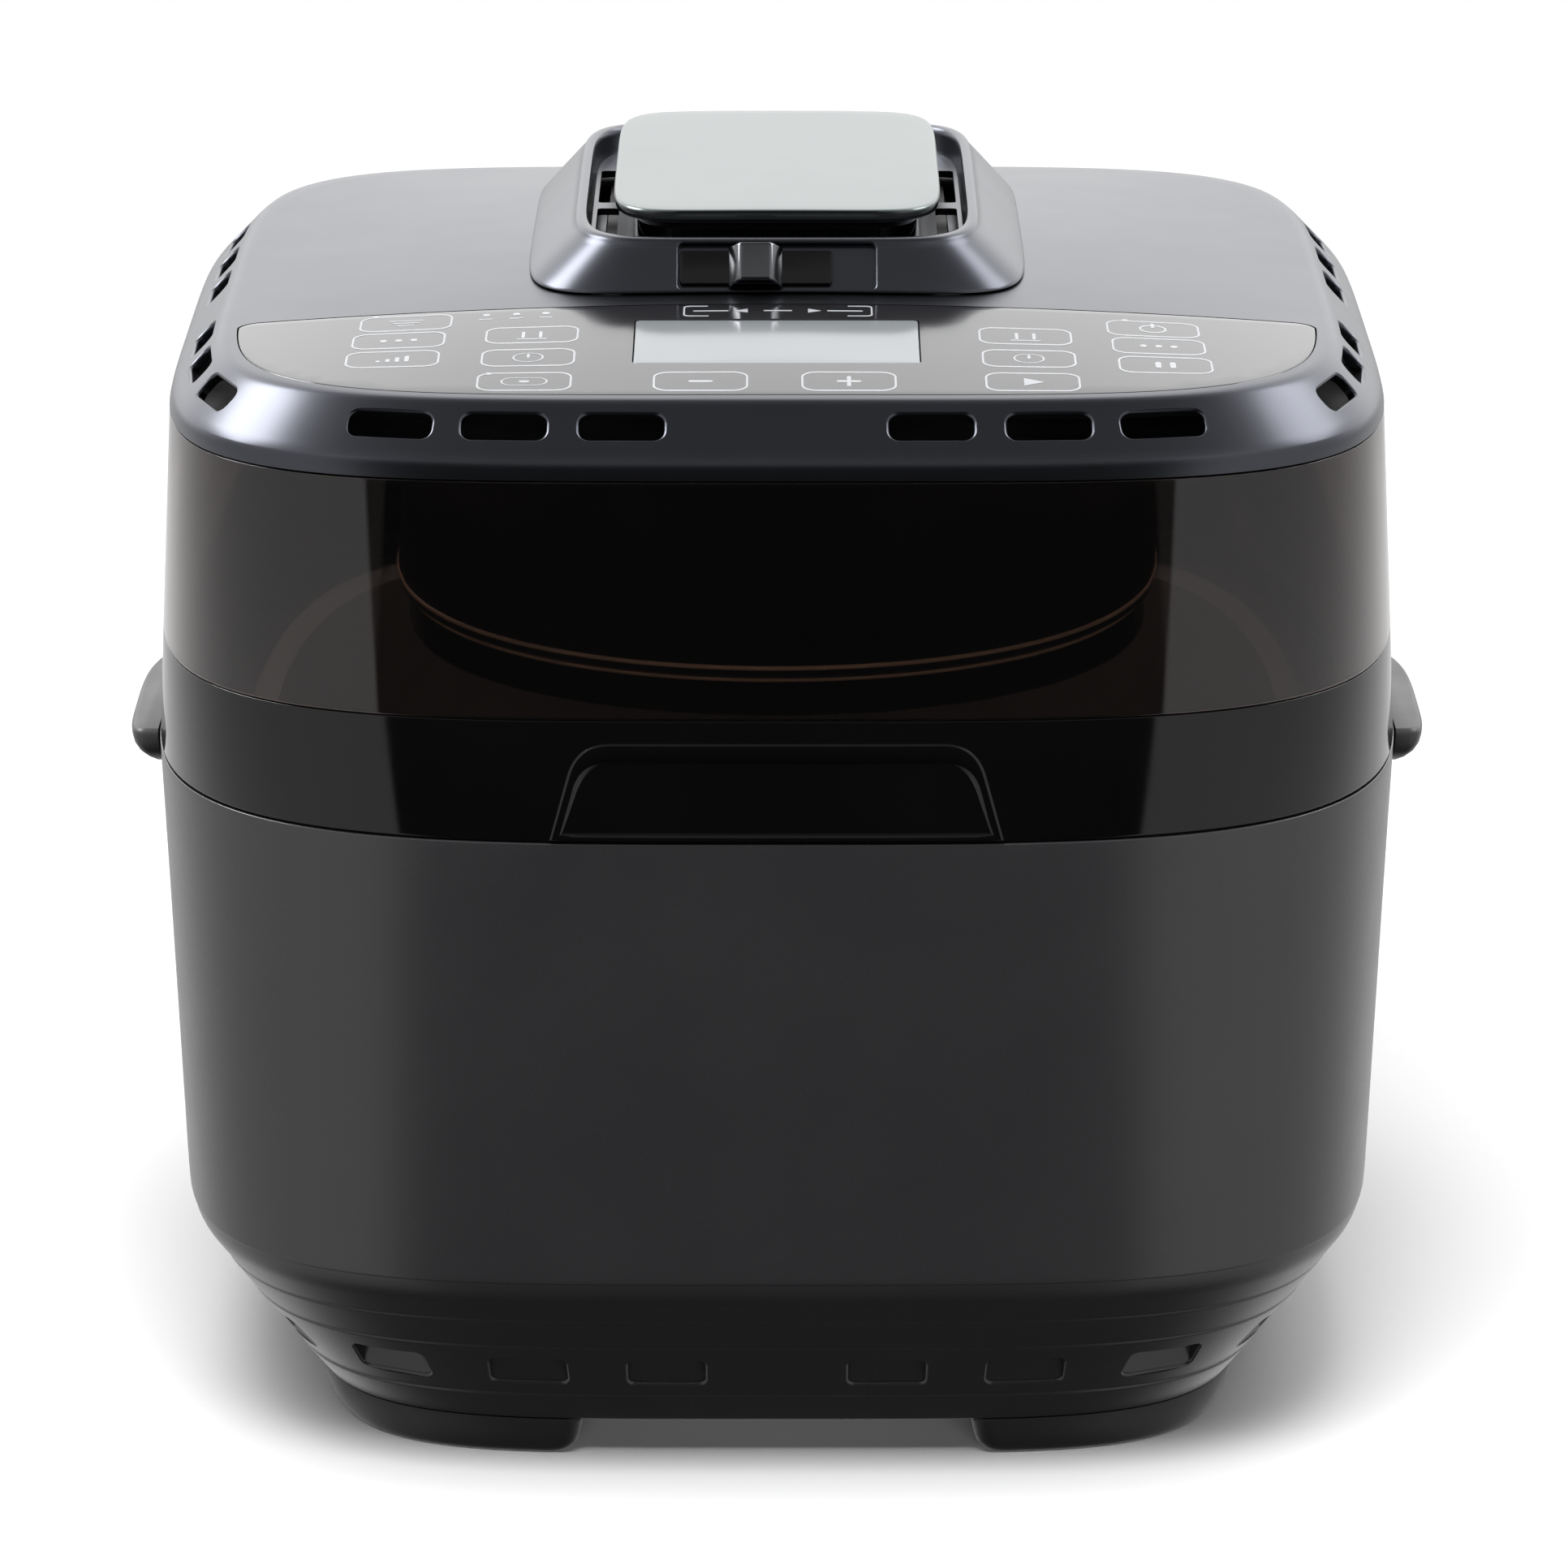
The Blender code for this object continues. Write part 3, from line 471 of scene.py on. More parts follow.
CAP_EDGE = surface("cap_edge", (0.010, 0.012, 0.013), (0.015, 0.017, 0.018), 0.12, 0.02, 2.0, 0.0006)
DRUM_STEEL = surface("drum_steel", (0.012, 0.011, 0.011), (0.022, 0.020, 0.019), 0.32, 0.06, 0.4, 0.003,
                     metallic=0.4)
COPPER = surface("copper_edge", (0.80, 0.58, 0.40), (0.88, 0.66, 0.48), 0.32, 0.05, 0.4, 0.002, metallic=0.2)
LINER_STEEL = surface("liner_steel", (0.42, 0.42, 0.42), (0.50, 0.50, 0.50),
                      0.32, 0.06, 0.3, 0.002, metallic=1.0, stretch=(1.0, 1.0, 0.05))
POT_COATING = surface("pot_coating", (0.44, 0.42, 0.40), (0.50, 0.48, 0.46), 0.38, 0.04, 0.5, 0.004,
                      metallic=0.3)
BRIGHT_STEEL = surface("bright_steel", (0.48, 0.48, 0.49), (0.58, 0.58, 0.59),
                       0.28, 0.06, 0.3, 0.002, metallic=1.0)
RUBBER = surface("rubber", (0.014, 0.014, 0.014), (0.022, 0.022, 0.022), 0.7, 0.08, 0.8, 0.02)
INNER_PLASTIC = surface("inner_plastic", (0.012, 0.012, 0.013), (0.018, 0.018, 0.019), 0.5, 0.06, 0.6, 0.01)
BOARD = surface("circuit_board", (0.012, 0.09, 0.04), (0.02, 0.13, 0.06), 0.4, 0.06, 1.5, 0.02)


def smoked_glass():
    made, nodes, links, base = new_material("smoked_window")
    cloud = noise(nodes, links, 60.0, 2.0)
    links.new(blended(nodes, links, cloud.outputs["Fac"], (0.185, 0.150, 0.140), (0.205, 0.165, 0.155)),
              base.inputs["Base Color"])
    gloss = noise(nodes, links, 30.0, 3.0)
    links.new(ranged(nodes, links, gloss.outputs["Fac"], 0.015, 0.035), base.inputs["Roughness"])
    base.inputs["Transmission Weight"].default_value = 1.0
    base.inputs["IOR"].default_value = 1.6
    clear = nodes.new("ShaderNodeBsdfTransparent")
    clear.inputs["Color"].default_value = (0.90, 0.87, 0.85, 1.0)
    path = nodes.new("ShaderNodeLightPath")
    mixed = nodes.new("ShaderNodeMixShader")
    links.new(path.outputs["Is Shadow Ray"], mixed.inputs["Fac"])
    links.new(base.outputs["BSDF"], mixed.inputs[1])
    links.new(clear.outputs["BSDF"], mixed.inputs[2])
    links.new(mixed.outputs["Shader"], nodes["Material Output"].inputs["Surface"])
    return made


SMOKED = smoked_glass()


# ---------------------------------------------------------------- the base

BASE_SLOT = (21.4, 11.4, 2.2)
HEAD_SLOT = (22.8, 7.8, 2.8)
SLOT_LIP = [(0.7, 0.0), (0.62, 0.06), (0.4, 0.16), (0.18, 0.34), (0.04, 0.6), (0.0, 0.9)]


def base_body():
    wall = spline([(170.15, 65.0, 4.08), (170.75, 72.0, 4.05), (172.9, 118.0, 3.9), (175.1, 164.0, 3.75),
                   (176.45, 191.0, 3.67)], 6)
    taper = [(134.6, 12.2, 4.5, 0.6), (141.6, 21.6, 4.42, 0.8), (141.55, 22.3, 4.42, 0.5),
             (155.0, 40.6, 4.31, 0.8), (155.1, 41.3, 4.3, 0.5), (162.2, 51.0, 4.2, 0.8),
             (162.35, 51.7, 4.2, 0.5), (168.6, 60.2, 4.11, 3.2)]
    outer = taper + [(half, z, power, 0.0) for half, z, power in wall] + [(176.6, 194.0, RIM_POWER, 0.4)]
    inner = [(174.2, 194.0, RIM_POWER, 0.5), (173.9, 183.0, RIM_POWER, 0.0), (169.1, 183.0, RIM_POWER, 0.0),
             (169.1, 179.0, RIM_POWER, 0.0), (171.0, 176.0, 3.68, 0.0), (166.5, 72.0, 4.05, 0.0),
             (150.0, 42.0, 4.3, 0.0), (128.0, 12.2, 4.5, 0.0)]
    rows = plan_rows(rounded(outer + inner, closed=True))
    made = lofted("base_body", rows, BASE_PLASTIC, "base", "matte_black", ("base_shell",), closed=True)
    offsets = [-108.4, -69.6, -30.8, 30.8, 69.6, 108.4]
    tilt = -math.atan2(155.0 - 141.55, 40.6 - 22.3)
    half = 141.55 + (155.0 - 141.55) * (31.2 - 22.3) / (40.6 - 22.3)
    places = slot_places(half, 4.38, [offsets] * 4, tilt, 31.2)
    tree = tree_of(made)
    cut(made, mouths(places, BASE_SLOT, SLOT_LIP[0][0], 9.0))
    join_mesh(made, add_pockets(made, tree, places, BASE_SLOT, SLOT_LIP, True, upright=4.4))
    return made


def foot_outline(half, power, inner_edge):
    far = side_reach(half, power, inner_edge)
    curve = []
    first = math.asin((inner_edge / half) ** (power / 2))
    for step in range(1, 32):
        turn = first + step / 32 * (math.pi / 2 - 2 * first)
        curve.append((half * math.cos(turn) ** (2 / power), half * math.sin(turn) ** (2 / power)))
    start, end, inner = (far, inner_edge), (inner_edge, far), (inner_edge, inner_edge)
    return (soften(start, inner, curve[0], 5.0) + curve + soften(end, curve[-1], inner, 5.0)
            + soften(inner, end, start, 18.0))


def soften(corner, before, after, reach, steps=8):
    corner, before, after = Vector(corner), Vector(before), Vector(after)
    start = corner + (before - corner).normalized() * reach
    end = corner + (after - corner).normalized() * reach
    points = []
    for step in range(steps + 1):
        t = step / steps
        points.append(tuple(start * (1 - t) ** 2 + corner * 2 * t * (1 - t) + end * t * t))
    return points


def feet():
    rings = [(11.9, 134.3, 4.5, 55.0), (11.2, 134.5, 4.5, 54.8), (6.0, 133.1, 4.6, 55.8),
             (3.6, 132.0, 4.7, 56.6), (1.8, 130.8, 4.8, 58.0), (0.7, 129.7, 4.9, 59.4),
             (0.0, 128.2, 5.0, 61.2)]
    for turn, name in enumerate(("foot_rear_right", "foot_rear_left", "foot_front_left", "foot_front_right")):
        spin = Matrix.Rotation(turn * math.pi / 2, 3, "Z")
        rows = [[spin @ (Vector((x, y, z)) * MM) for x, y in foot_outline(half, power, edge)]
                for z, half, power, edge in rings]
        lofted(name.replace("foot", "rubber_foot"), rows, FOOT_PLASTIC, "base", "dark_rubber", (name,))


def side_grips():
    """A grip each side: flat on top, blunt in front, fading into the wall behind and tapered below."""
    middle = -11.0
    levels = [(180.0, 176.3, 2.6, 33.0), (182.0, 176.4, 5.0, 37.5), (184.4, 176.6, 7.0, 41.0),
              (186.6, 176.7, 8.1, 42.6), (188.6, 176.8, 8.5, 43.0), (190.2, 176.9, 8.5, 43.0),
              (191.0, 176.9, 8.2, 42.7), (191.6, 176.9, 7.5, 42.0), (191.8, 176.9, 6.8, 41.3)]
    for name, sign in (("side_handle_right", 1), ("side_handle_left", -1)):
        rows = []
        for z, wall, bulge, half_length in levels:
            outline = [(sign * wall, middle - half_length)]
            for step in range(41):
                along = -math.cos(step / 40 * math.pi)
                power = 5.0 if along < 0 else 2.4
                out = bulge * (1 - abs(along) ** power) ** (1 / power)
                outline.append((sign * (wall + 0.3 + out), middle + half_length * along))
            outline.append((sign * wall, middle + half_length))
            rows.append([Vector((x, y, z)) * MM for x, y in outline])
        lofted(name.replace("side_handle", "grip"), rows, HANDLE_PLASTIC, "base", "gunmetal", (name,))


# ---------------------------------------------------------------- the lid's walls

SKIRT = ((176.4, 194.4, RIM_POWER), (174.4, 228.0, 4.0))


def skirt_reach(x, z):
    (half_low, low, power_low), (half_high, high, power_high) = SKIRT
    share = (z - low) / (high - low)
    half = half_low + (half_high - half_low) * share
    return side_reach(half, power_low + (power_high - power_low) * share, x)


def pull_outline(half_top, half_low, top, low, radius):
    shoulder = soften((half_top, top), (half_low, low), (0.0, top), radius, 12)
    right = [(half_low * step / 12, low) for step in range(1, 12)]
    right += [(half_low, low)] + shoulder
    right += [(half_top * 0.7 * (1 - step / 8), top) for step in range(0, 8)]
    left = [(-x, z) for x, z in reversed(right)]
    return [(0.0, low)] + right + [(0.0, top)] + left


def lid_walls():
    (half_low, low, power_low), (half_high, high, power_high) = SKIRT
    profile = [(half_low, low, power_low, 0.9), (half_high, high, power_high, 0.35),
               (171.3, high, power_high, 0.0), (170.2, 189.0, RIM_POWER, 0.0),
               (173.0, 189.0, RIM_POWER, 0.3), (173.0, low, RIM_POWER, 0.0)]
    skirt = lofted("skirt_ring", plan_rows(rounded(profile, closed=True)), GLOSS_BLACK, "lid", "gloss_black",
                   ("lid_skirt",), closed=True)
    hole = bmesh.new()
    turn = Matrix(((1, 0, 0), (0, 0, -1), (0, 1, 0))).to_4x4()
    prism_into(hole, pull_outline(51.9, 58.5, 217.3, 196.0, 8.5), 160.0, 190.0, turn)
    cut(skirt, hole)
    profile = [(half_high, high + 0.3, power_high, 0.35), (170.6, 293.3, 4.5, 0.35), (167.6, 293.3, 4.5, 0.0),
               (171.4, high + 0.3, power_high, 0.0)]
    lofted("window_ring", plan_rows(rounded(profile, closed=True)), SMOKED, "lid", "smoke_amber",
           ("window_band",), closed=True)


def finger_pull():
    """A raised frame round a shallow cup, which follows the skirt."""
    stages = [((51.6, 58.2, 217.0, 196.3, 8.5), 0.1), ((54.2, 61.6, 222.1, 195.0, 9.5), 0.1),
              ((54.2, 61.6, 222.1, 195.0, 9.5), 0.45), ((54.05, 61.45, 221.9, 195.1, 9.45), 0.8),
              ((53.7, 61.0, 221.4, 195.3, 9.3), 1.05), ((53.2, 60.4, 220.7, 195.5, 9.2), 1.1),
              ((52.6, 59.6, 219.4, 196.0, 8.9), 1.1), ((52.1, 59.0, 218.4, 196.4, 8.7), 0.95),
              ((51.3, 58.0, 217.0, 197.0, 8.3), 0.3), ((50.6, 57.2, 216.0, 197.5, 8.0), -0.6),
              ((50.2, 56.8, 215.4, 197.8, 7.8), -1.5), ((49.7, 56.3, 214.7, 198.3, 7.6), -4.8),
              ((49.4, 56.0, 214.2, 198.6, 7.4), -6.4), ((48.4, 55.0, 213.2, 199.4, 6.8), -7.0)]
    rows = []
    for shape, proud in stages:
        rows.append([Vector((x, -(skirt_reach(x, z) + proud), z)) * MM for x, z in pull_outline(*shape)])
    lofted("finger_pull", rows, GLOSS_BLACK, "lid", "gloss_black", ("pull_hood",), angle=40.0)
    lip = []
    for z, drop in ((197.6, -6.9), (197.6, -1.2), (197.9, -0.8), (199.4, -0.8), (199.8, -1.2), (199.8, -6.9)):
        lip.append([(z, drop)])
    mesh = bmesh.new()
    sections = []
    for step in range(41):
        x = -55.4 + 110.8 * step / 40
        sections.append([Vector((x, -(skirt_reach(x, z) + drop), z)) * MM for (z, drop), in lip])
    skin(mesh, sections)
    add_piece("finger_pull_lip", mesh, GLOSS_BLACK, "lid", "gloss_black")


# ---------------------------------------------------------------- the head

PANEL_REAR, PANEL_HALF, PANEL_POWER, PANEL_CORNER = -65.0, 151.3, TOP_POWER, 6.0
DISPLAY_CENTRE, DISPLAY_HALF = (0.0, -102.2), (39.5, 21.3)


def panel_outline(grow, corner_steps=10, steps=90):
    half = PANEL_HALF + grow
    rear = PANEL_REAR + grow
    radius = PANEL_CORNER + grow
    start = rear - radius
    corner_x = side_reach(half, PANEL_POWER, start) - radius
    points = []
    for sign, first in ((1, 0.0), (-1, math.pi / 2)):
        for step in range(corner_steps + 1):
            turn = first + step / corner_steps * math.pi / 2
            points.append((sign * corner_x + radius * math.cos(turn), start + radius * math.sin(turn)))
        if sign == 1:
            points += [(corner_x * (1 - step / 12), rear) for step in range(1, 24)]
    begin = math.atan2(abs(start), side_reach(half, PANEL_POWER, start))
    for step in range(1, steps):
        turn = math.pi + begin + step / steps * (math.pi - 2 * begin)
        along, across = math.cos(turn), math.sin(turn)
        reach = half * (abs(along) ** PANEL_POWER + abs(across) ** PANEL_POWER) ** (-1 / PANEL_POWER)
        points.append((reach * along, reach * across))
    return points


def display_outline(grow):
    return moved(rounded_box(DISPLAY_HALF[0] + grow, DISPLAY_HALF[1] + grow, 2.0 + grow), DISPLAY_CENTRE)


def head():
    shares = (0.985, 0.96, 0.92, 0.86, 0.78, 0.68, 0.56, 0.42, 0.26, 0.1)
    edge = rounded([(170.7, 293.6, 4.5, 0.8), (169.6, 297.8, 4.75, 1.4), (168.0, 299.9, 4.85, 1.6),
                    (157.3, 311.0, 5.15, 1.8), (155.4, 312.45, TOP_POWER, 0.0)], steps=6)
    inner = [(168.1, 293.6, 4.5), (167.0, 297.4, 4.7), (155.9, 308.8, 5.15), (153.2, 310.0, TOP_POWER)]
    rows = []
    for share in reversed(shares):
        rows.append(heights(squircle(DOME_HALF * share, DOME_HALF * share, TOP_POWER),
                            lambda x, y: dome(x, y) - 2.4))
    rows += plan_rows(reversed(inner))
    rows += plan_rows(rounded([(168.1, 293.6, 4.5, 0.0), (170.7, 293.6, 4.5, 0.5), (169.6, 297.8, 4.75, 0.0)],
                              steps=3)[1:-1])
    rows += plan_rows(edge[1:])
    for share in shares:
        rows.append(heights(squircle(DOME_HALF * share, DOME_HALF * share, TOP_POWER), dome))
    cover = lofted("head_shell", rows, COVER_PLASTIC, "lid", "gunmetal", ("head_cover",))
    front = [-104.0, -73.2, -41.6, 41.6, 73.2, 104.0]
    sides = [-120.0, -87.9, -55.8, 10.0, 42.7, 76.0]
    tilt = math.atan2(168.0 - 157.3, 311.0 - 299.9)
    lists = [front, sides, front, [-offset for offset in sides]]
    places = slot_places(161.5, 5.0, lists, tilt, 306.6)
    tree = tree_of(cover)
    cutter = mouths(places, HEAD_SLOT, SLOT_LIP[0][0], 7.0)
    prism_into(cutter, panel_outline(0.0), 290.0, 330.0)
    prism_into(cutter, moved(rounded_box(50.0, 58.0, 8.0), (0.0, HANDLE_Y)), 290.0, 330.0)
    prism_into(cutter, rounded_box(8.3, 4.7, 4.0), 140.0, 190.0, y_frame(GLAND))
    cut(cover, cutter)
    join_mesh(cover, add_pockets(cover, tree, places, HEAD_SLOT, SLOT_LIP + [(0.0, 2.8)], False))
    rows = [(-0.9, 0.0), (-0.62, 0.03), (-0.42, 0.14), (-0.32, 0.32), (-0.3, 0.6), (-0.3, 2.2)]
    panel = plate("panel_overlay", panel_outline, dome, rows, 6.0, PANEL_FILM, "lid", "panel_grey",
                  ("control_panel",))
    window = bmesh.new()
    prism_into(window, display_outline(0.0), 290.0, 330.0)
    cut(panel, window)
    rows = [(-0.8, 0.02), (-0.5, 0.06), (-0.34, 0.2), (-0.3, 0.4), (-0.3, 2.0)]
    plate("display_pane", display_outline, dome, rows, 4.0, DISPLAY_GLASS, "lid", "display",
          ("display_window",))


GLAND = (0.0, 0.0, 300.2)


def y_frame(point):
    turn = Matrix(((1, 0, 0), (0, 0, 1), (0, -1, 0))).to_4x4()
    return Matrix.Translation(Vector(point) * MM) @ turn


# ---------------------------------------------------------------- the print on the panel

INK_RISE = 0.05
LINE, LINE_ACROSS = 0.55, 1.0


def ink_ring(mesh, centre, half_x, half_y, radius, width=LINE, across=LINE_ACROSS):
    """A rounded outline whose front and rear strokes may be wider than its sides."""
    outer = moved(rounded_box(half_x, half_y, radius, 6), centre)
    inner = moved(rounded_box(half_x - width, half_y - across, max(radius - width, 0.3), 6), centre)
    rows = [heights(points, lambda x, y: dome(x, y) + rise)
            for points, rise in ((outer, 0.0), (outer, INK_RISE), (inner, INK_RISE), (inner, 0.0))]
    skin(mesh, rows, closed=True)


def ink_patch(mesh, outline):
    rows = [heights(outline, lambda x, y: dome(x, y) + rise) for rise in (0.0, INK_RISE)]
    skin(mesh, rows)


def bar(half_x, half_y, centre):
    radius = min(half_x, half_y) * 0.95
    return moved(rounded_box(half_x, half_y, radius, 3), centre)


def panel_print():
    """Key outlines with plain pictograms, in place of any wording."""
    mesh = bmesh.new()
    keys = [((-103.2, -76.6), "bars"), ((-104.4, -95.5), "dots"), ((-105.2, -115.0), "ramp"),
            ((-67.6, -94.0), "rise"), ((-68.0, -116.5), "ring"), ((-68.4, -139.0), "turn"),
            ((-20.6, -139.6), "minus"), ((19.6, -139.6), "plus"),
            ((68.6, -95.5), "rise"), ((69.0, -117.5), "ring"), ((69.4, -139.4), "play"),
            ((104.4, -83.0), "power"), ((105.2, -101.5), "dots"), ((106.2, -121.0), "pause")]
    for centre, sign in keys:
        ink_ring(mesh, centre, 12.9, 8.4, 4.4)
        x, y = centre
        if sign == "bars":
            for k in range(3):
                ink_patch(mesh, bar(5.0 - k * 1.2, 0.42, (x, y + 2.6 - 2.6 * k)))
        elif sign == "dots":
            for k in (-1, 0, 1):
                ink_patch(mesh, bar(0.95, 1.3, (x + 4.2 * k, y)))
        elif sign == "ramp":
            for k in range(4):
                ink_patch(mesh, bar(0.6, 0.9 + 0.7 * k, (x - 3.9 + 2.6 * k, y - 2.1 + 0.7 * k)))
        elif sign == "rise":
            for k in (-1, 1):
                ink_patch(mesh, bar(0.45, 3.2, (x + 2.4 * k, y)))
            ink_patch(mesh, bar(4.2, 0.4, (x, y - 4.2)))
        elif sign == "ring":
            ink_ring(mesh, centre, 4.3, 4.4, 4.2)
            ink_patch(mesh, bar(0.4, 1.8, (x, y + 1.6)))
        elif sign == "turn":
            ink_ring(mesh, centre, 6.4, 3.6, 3.4)
            ink_patch(mesh, bar(1.5, 1.0, (x, y)))
        elif sign in ("minus", "plus"):
            ink_patch(mesh, bar(3.4, 0.8, centre))
            if sign == "plus":
                for end in (-1, 1):
                    ink_patch(mesh, bar(0.55, 1.8, (x, y + end * 2.55)))
        elif sign == "play":
            ink_patch(mesh, [(x - 2.4, y - 3.4), (x + 3.2, y), (x - 2.4, y + 3.4)])
        elif sign == "power":
            ink_ring(mesh, centre, 3.8, 4.2, 3.7)
            ink_patch(mesh, bar(0.45, 2.4, (x, y + 3.6)))
        elif sign == "pause":
            for k in (-1, 1):
                ink_patch(mesh, bar(0.8, 3.0, (x + 2.0 * k, y)))
    for x in (-81.0, -72.6, -64.4):
        ink_patch(mesh, bar(1.05, 1.25, (x, -71.5)))
        ink_patch(mesh, bar(2.0, 0.4, (x, -76.0)))
    for x, y in ((-112.0, -68.0), (-78.2, -131.4), (97.0, -74.4)):
        ink_patch(mesh, bar(0.9, 1.1, (x, y)))
    ink_ring(mesh, (0.3, -72.6), 26.4, 5.6, 1.8, 0.5, 0.9)
    for x, way in ((-9.6, -1), (10.2, 1)):
        ink_patch(mesh, [(x - way * 1.5, -74.6), (x + way * 2.2, -72.6), (x - way * 1.5, -70.6)][::way])
    for x, half in ((-18.4, 5.0), (0.3, 4.0), (19.0, 5.0)):
        ink_patch(mesh, bar(half, 0.5, (x, -72.6)))
    add_piece("panel_print", mesh, PRINT_INK, "lid", "panel_grey")


# ---------------------------------------------------------------- the handle group

def collar_rows(profile):
    return [heights(moved(squircle(half_x, half_y, 7.0), (0.0, HANDLE_Y)), height)
            for half_x, half_y, height in profile]


def slider_frame():
    low = Vector((0.0, HANDLE_Y - 93.3, dome(0.0, HANDLE_Y - 93.3) + 0.9))
    high = Vector((0.0, HANDLE_Y - 84.2, 332.4))
    slope = high - low
    return face_frame((low + high) / 2, -math.pi / 2, math.pi / 2 - math.atan2(slope.z, slope.y))


def handle_group():
    def above(rise):
        return lambda x, y: dome(x, y) + rise
    profile = [(59.5, 81.5, flat(323.0)), (66.5, 88.8, above(0.3)), (70.6, 92.9, above(0.3)),
               (71.0, 93.3, above(0.6)), (70.9, 93.2, above(1.0)), (70.5, 92.9, above(1.5))]
    for share in (0.2, 0.4, 0.6, 0.8, 0.9):
        profile.append((70.5 + (58.2 - 70.5) * share, 92.9 + (84.9 - 92.9) * share,
                        blend_height(above(1.5), 331.2, share)))
    profile += [(58.2, 84.9, flat(331.2)), (57.9, 84.6, flat(331.9)), (57.5, 84.2, flat(332.5)),
                (57.0, 83.7, flat(332.85)), (56.4, 83.1, flat(333.0)), (55.4, 81.6, flat(333.0)),
                (54.8, 80.9, flat(332.8)), (54.5, 80.5, flat(332.3)), (54.3, 80.2, flat(331.0)),
                (54.0, 80.0, flat(326.4)), (53.6, 79.6, flat(325.4)), (52.4, 78.4, flat(325.0))]
    collar = lofted("collar_ring", collar_rows(profile), COVER_PLASTIC, "lid", "gunmetal", ("handle_collar",))
    place = slider_frame()
    tree = tree_of(collar)
    recess = (55.6, 14.2, 1.5)
    lip = [(0.5, 0.0), (0.42, 0.05), (0.2, 0.16), (0.05, 0.4), (0.0, 0.7)]
    cutter = mouths([place], recess, lip[0][0], 2.2, 6.0)
    for side in (-1, 1):
        for low, high in ((-18.0, 34.0), (42.0, 88.0)):
            opening = rounded_box(3.2, (high - low) / 2, 1.5)
            prism_into(cutter, moved(opening, (side * 49.2, (low + high) / 2)), 320.0, 329.0)
    cut(collar, cutter)
    join_mesh(collar, add_pockets(collar, tree, [place], recess, lip + [(0.0, 2.15), (-0.4, 2.4)], True))
    centre = (0.0, HANDLE_Y - 1.3)
    rows = []
    for half_x, half_y, z in ((41.2, 66.7, 325.3), (41.2, 66.7, 332.6), (42.0, 67.5, 334.0),
                              (43.6, 69.1, 334.7), (43.6, 69.1, 335.4)):
        rows.append(heights(moved(squircle(half_x, half_y, 7.0), centre), flat(z)))
    lofted("pedestal", rows, GLOSS_BLACK, "lid", "gloss_black", ("handle_post",))

    def crown(x):
        return 339.1 - 0.3 * (x / 47.0) ** 2

    rows = []
    for inset, drop in ((1.6, 3.4), (0.7, 3.3), (0.15, 2.8), (0.0, 2.2), (0.0, 1.0)):
        rows.append(heights(moved(squircle(46.8 - inset, 72.2 - inset, 7.0), centre),
                            lambda x, y: crown(x) - drop))
    lofted("cap_rim", rows, CAP_EDGE, "lid", "gloss_black")
    rows = []
    for inset, drop in ((0.1, 1.0), (0.1, 0.55), (0.3, 0.22), (0.7, 0.04), (1.2, 0.0), (6.0, 0.0),
                        (14.0, 0.0), (26.0, 0.0), (38.0, 0.0)):
        rows.append(heights(moved(squircle(46.8 - inset, 72.2 - inset, 7.0), centre),
                            lambda x, y: crown(x) - drop))
    lofted("cap_plate", rows, CAP_METAL, "lid", "satin_metal", ("handle_cap",))
    slider(place)


def blend_height(low, high, share):
    return lambda x, y: low(x, y) * (1 - share) + high * share


def local_rows(place, stages, corner, steps=6):
    """Rounded boxes in a frame, from (centre_x, half_x, half_y, z)."""
    rows = []
    for centre_x, half_x, half_y, z in stages:
        radius = min(corner, half_x, half_y) * 0.98
        outline = moved(rounded_box(half_x, half_y, radius, steps), (centre_x, 0.0))
        rows.append([place @ (Vector((x, y, z)) * MM) for x, y in outline])
    return rows


def slider(place):
    """The slide plate and its ridge, which stand for the CAD lever."""
    middle = -27.4 + 21.5
    plate_rows = [(middle, 21.5, 5.2, -2.1), (middle, 21.5, 5.2, -1.05), (middle, 21.35, 5.05, -0.8),
                  (middle, 21.0, 4.7, -0.7)]
    lofted("slide_plate", local_rows(place, plate_rows, 1.2), GLOSS_BLACK, "vent_slider", "gloss_black",
           ("vent_lever",))
    x = -6.0
    ridge = [(x, 7.6, 6.2, -1.3), (x, 7.6, 6.2, -0.3), (x, 7.3, 6.15, 0.2), (x, 6.4, 6.0, 1.4),
             (x, 5.2, 5.85, 3.0), (x, 4.6, 5.7, 3.6), (x, 4.2, 5.4, 3.85), (x, 3.6, 4.9, 3.9)]
    lofted("slide_ridge", local_rows(place, ridge, 0.8), RIDGE_METAL, "vent_slider", "gloss_black")


# ---------------------------------------------------------------- details of the inside

def ring_tube(name, radius, height, thick, look, body, slot):
    mesh = bmesh.new()
    rows = []
    for i in range(FINE):
        turn = 2 * math.pi * i / FINE
        row = []
        for k in range(10):
            angle = 2 * math.pi * k / 10
            reach = radius + thick * math.cos(angle)
            z = height + thick * math.sin(angle)
            row.append(Vector((reach * math.cos(turn), reach * math.sin(turn), z)) * MM)
        rows.append(row)
    skin(mesh, rows, closed=True)
    return add_piece(name, mesh, look, body, slot)


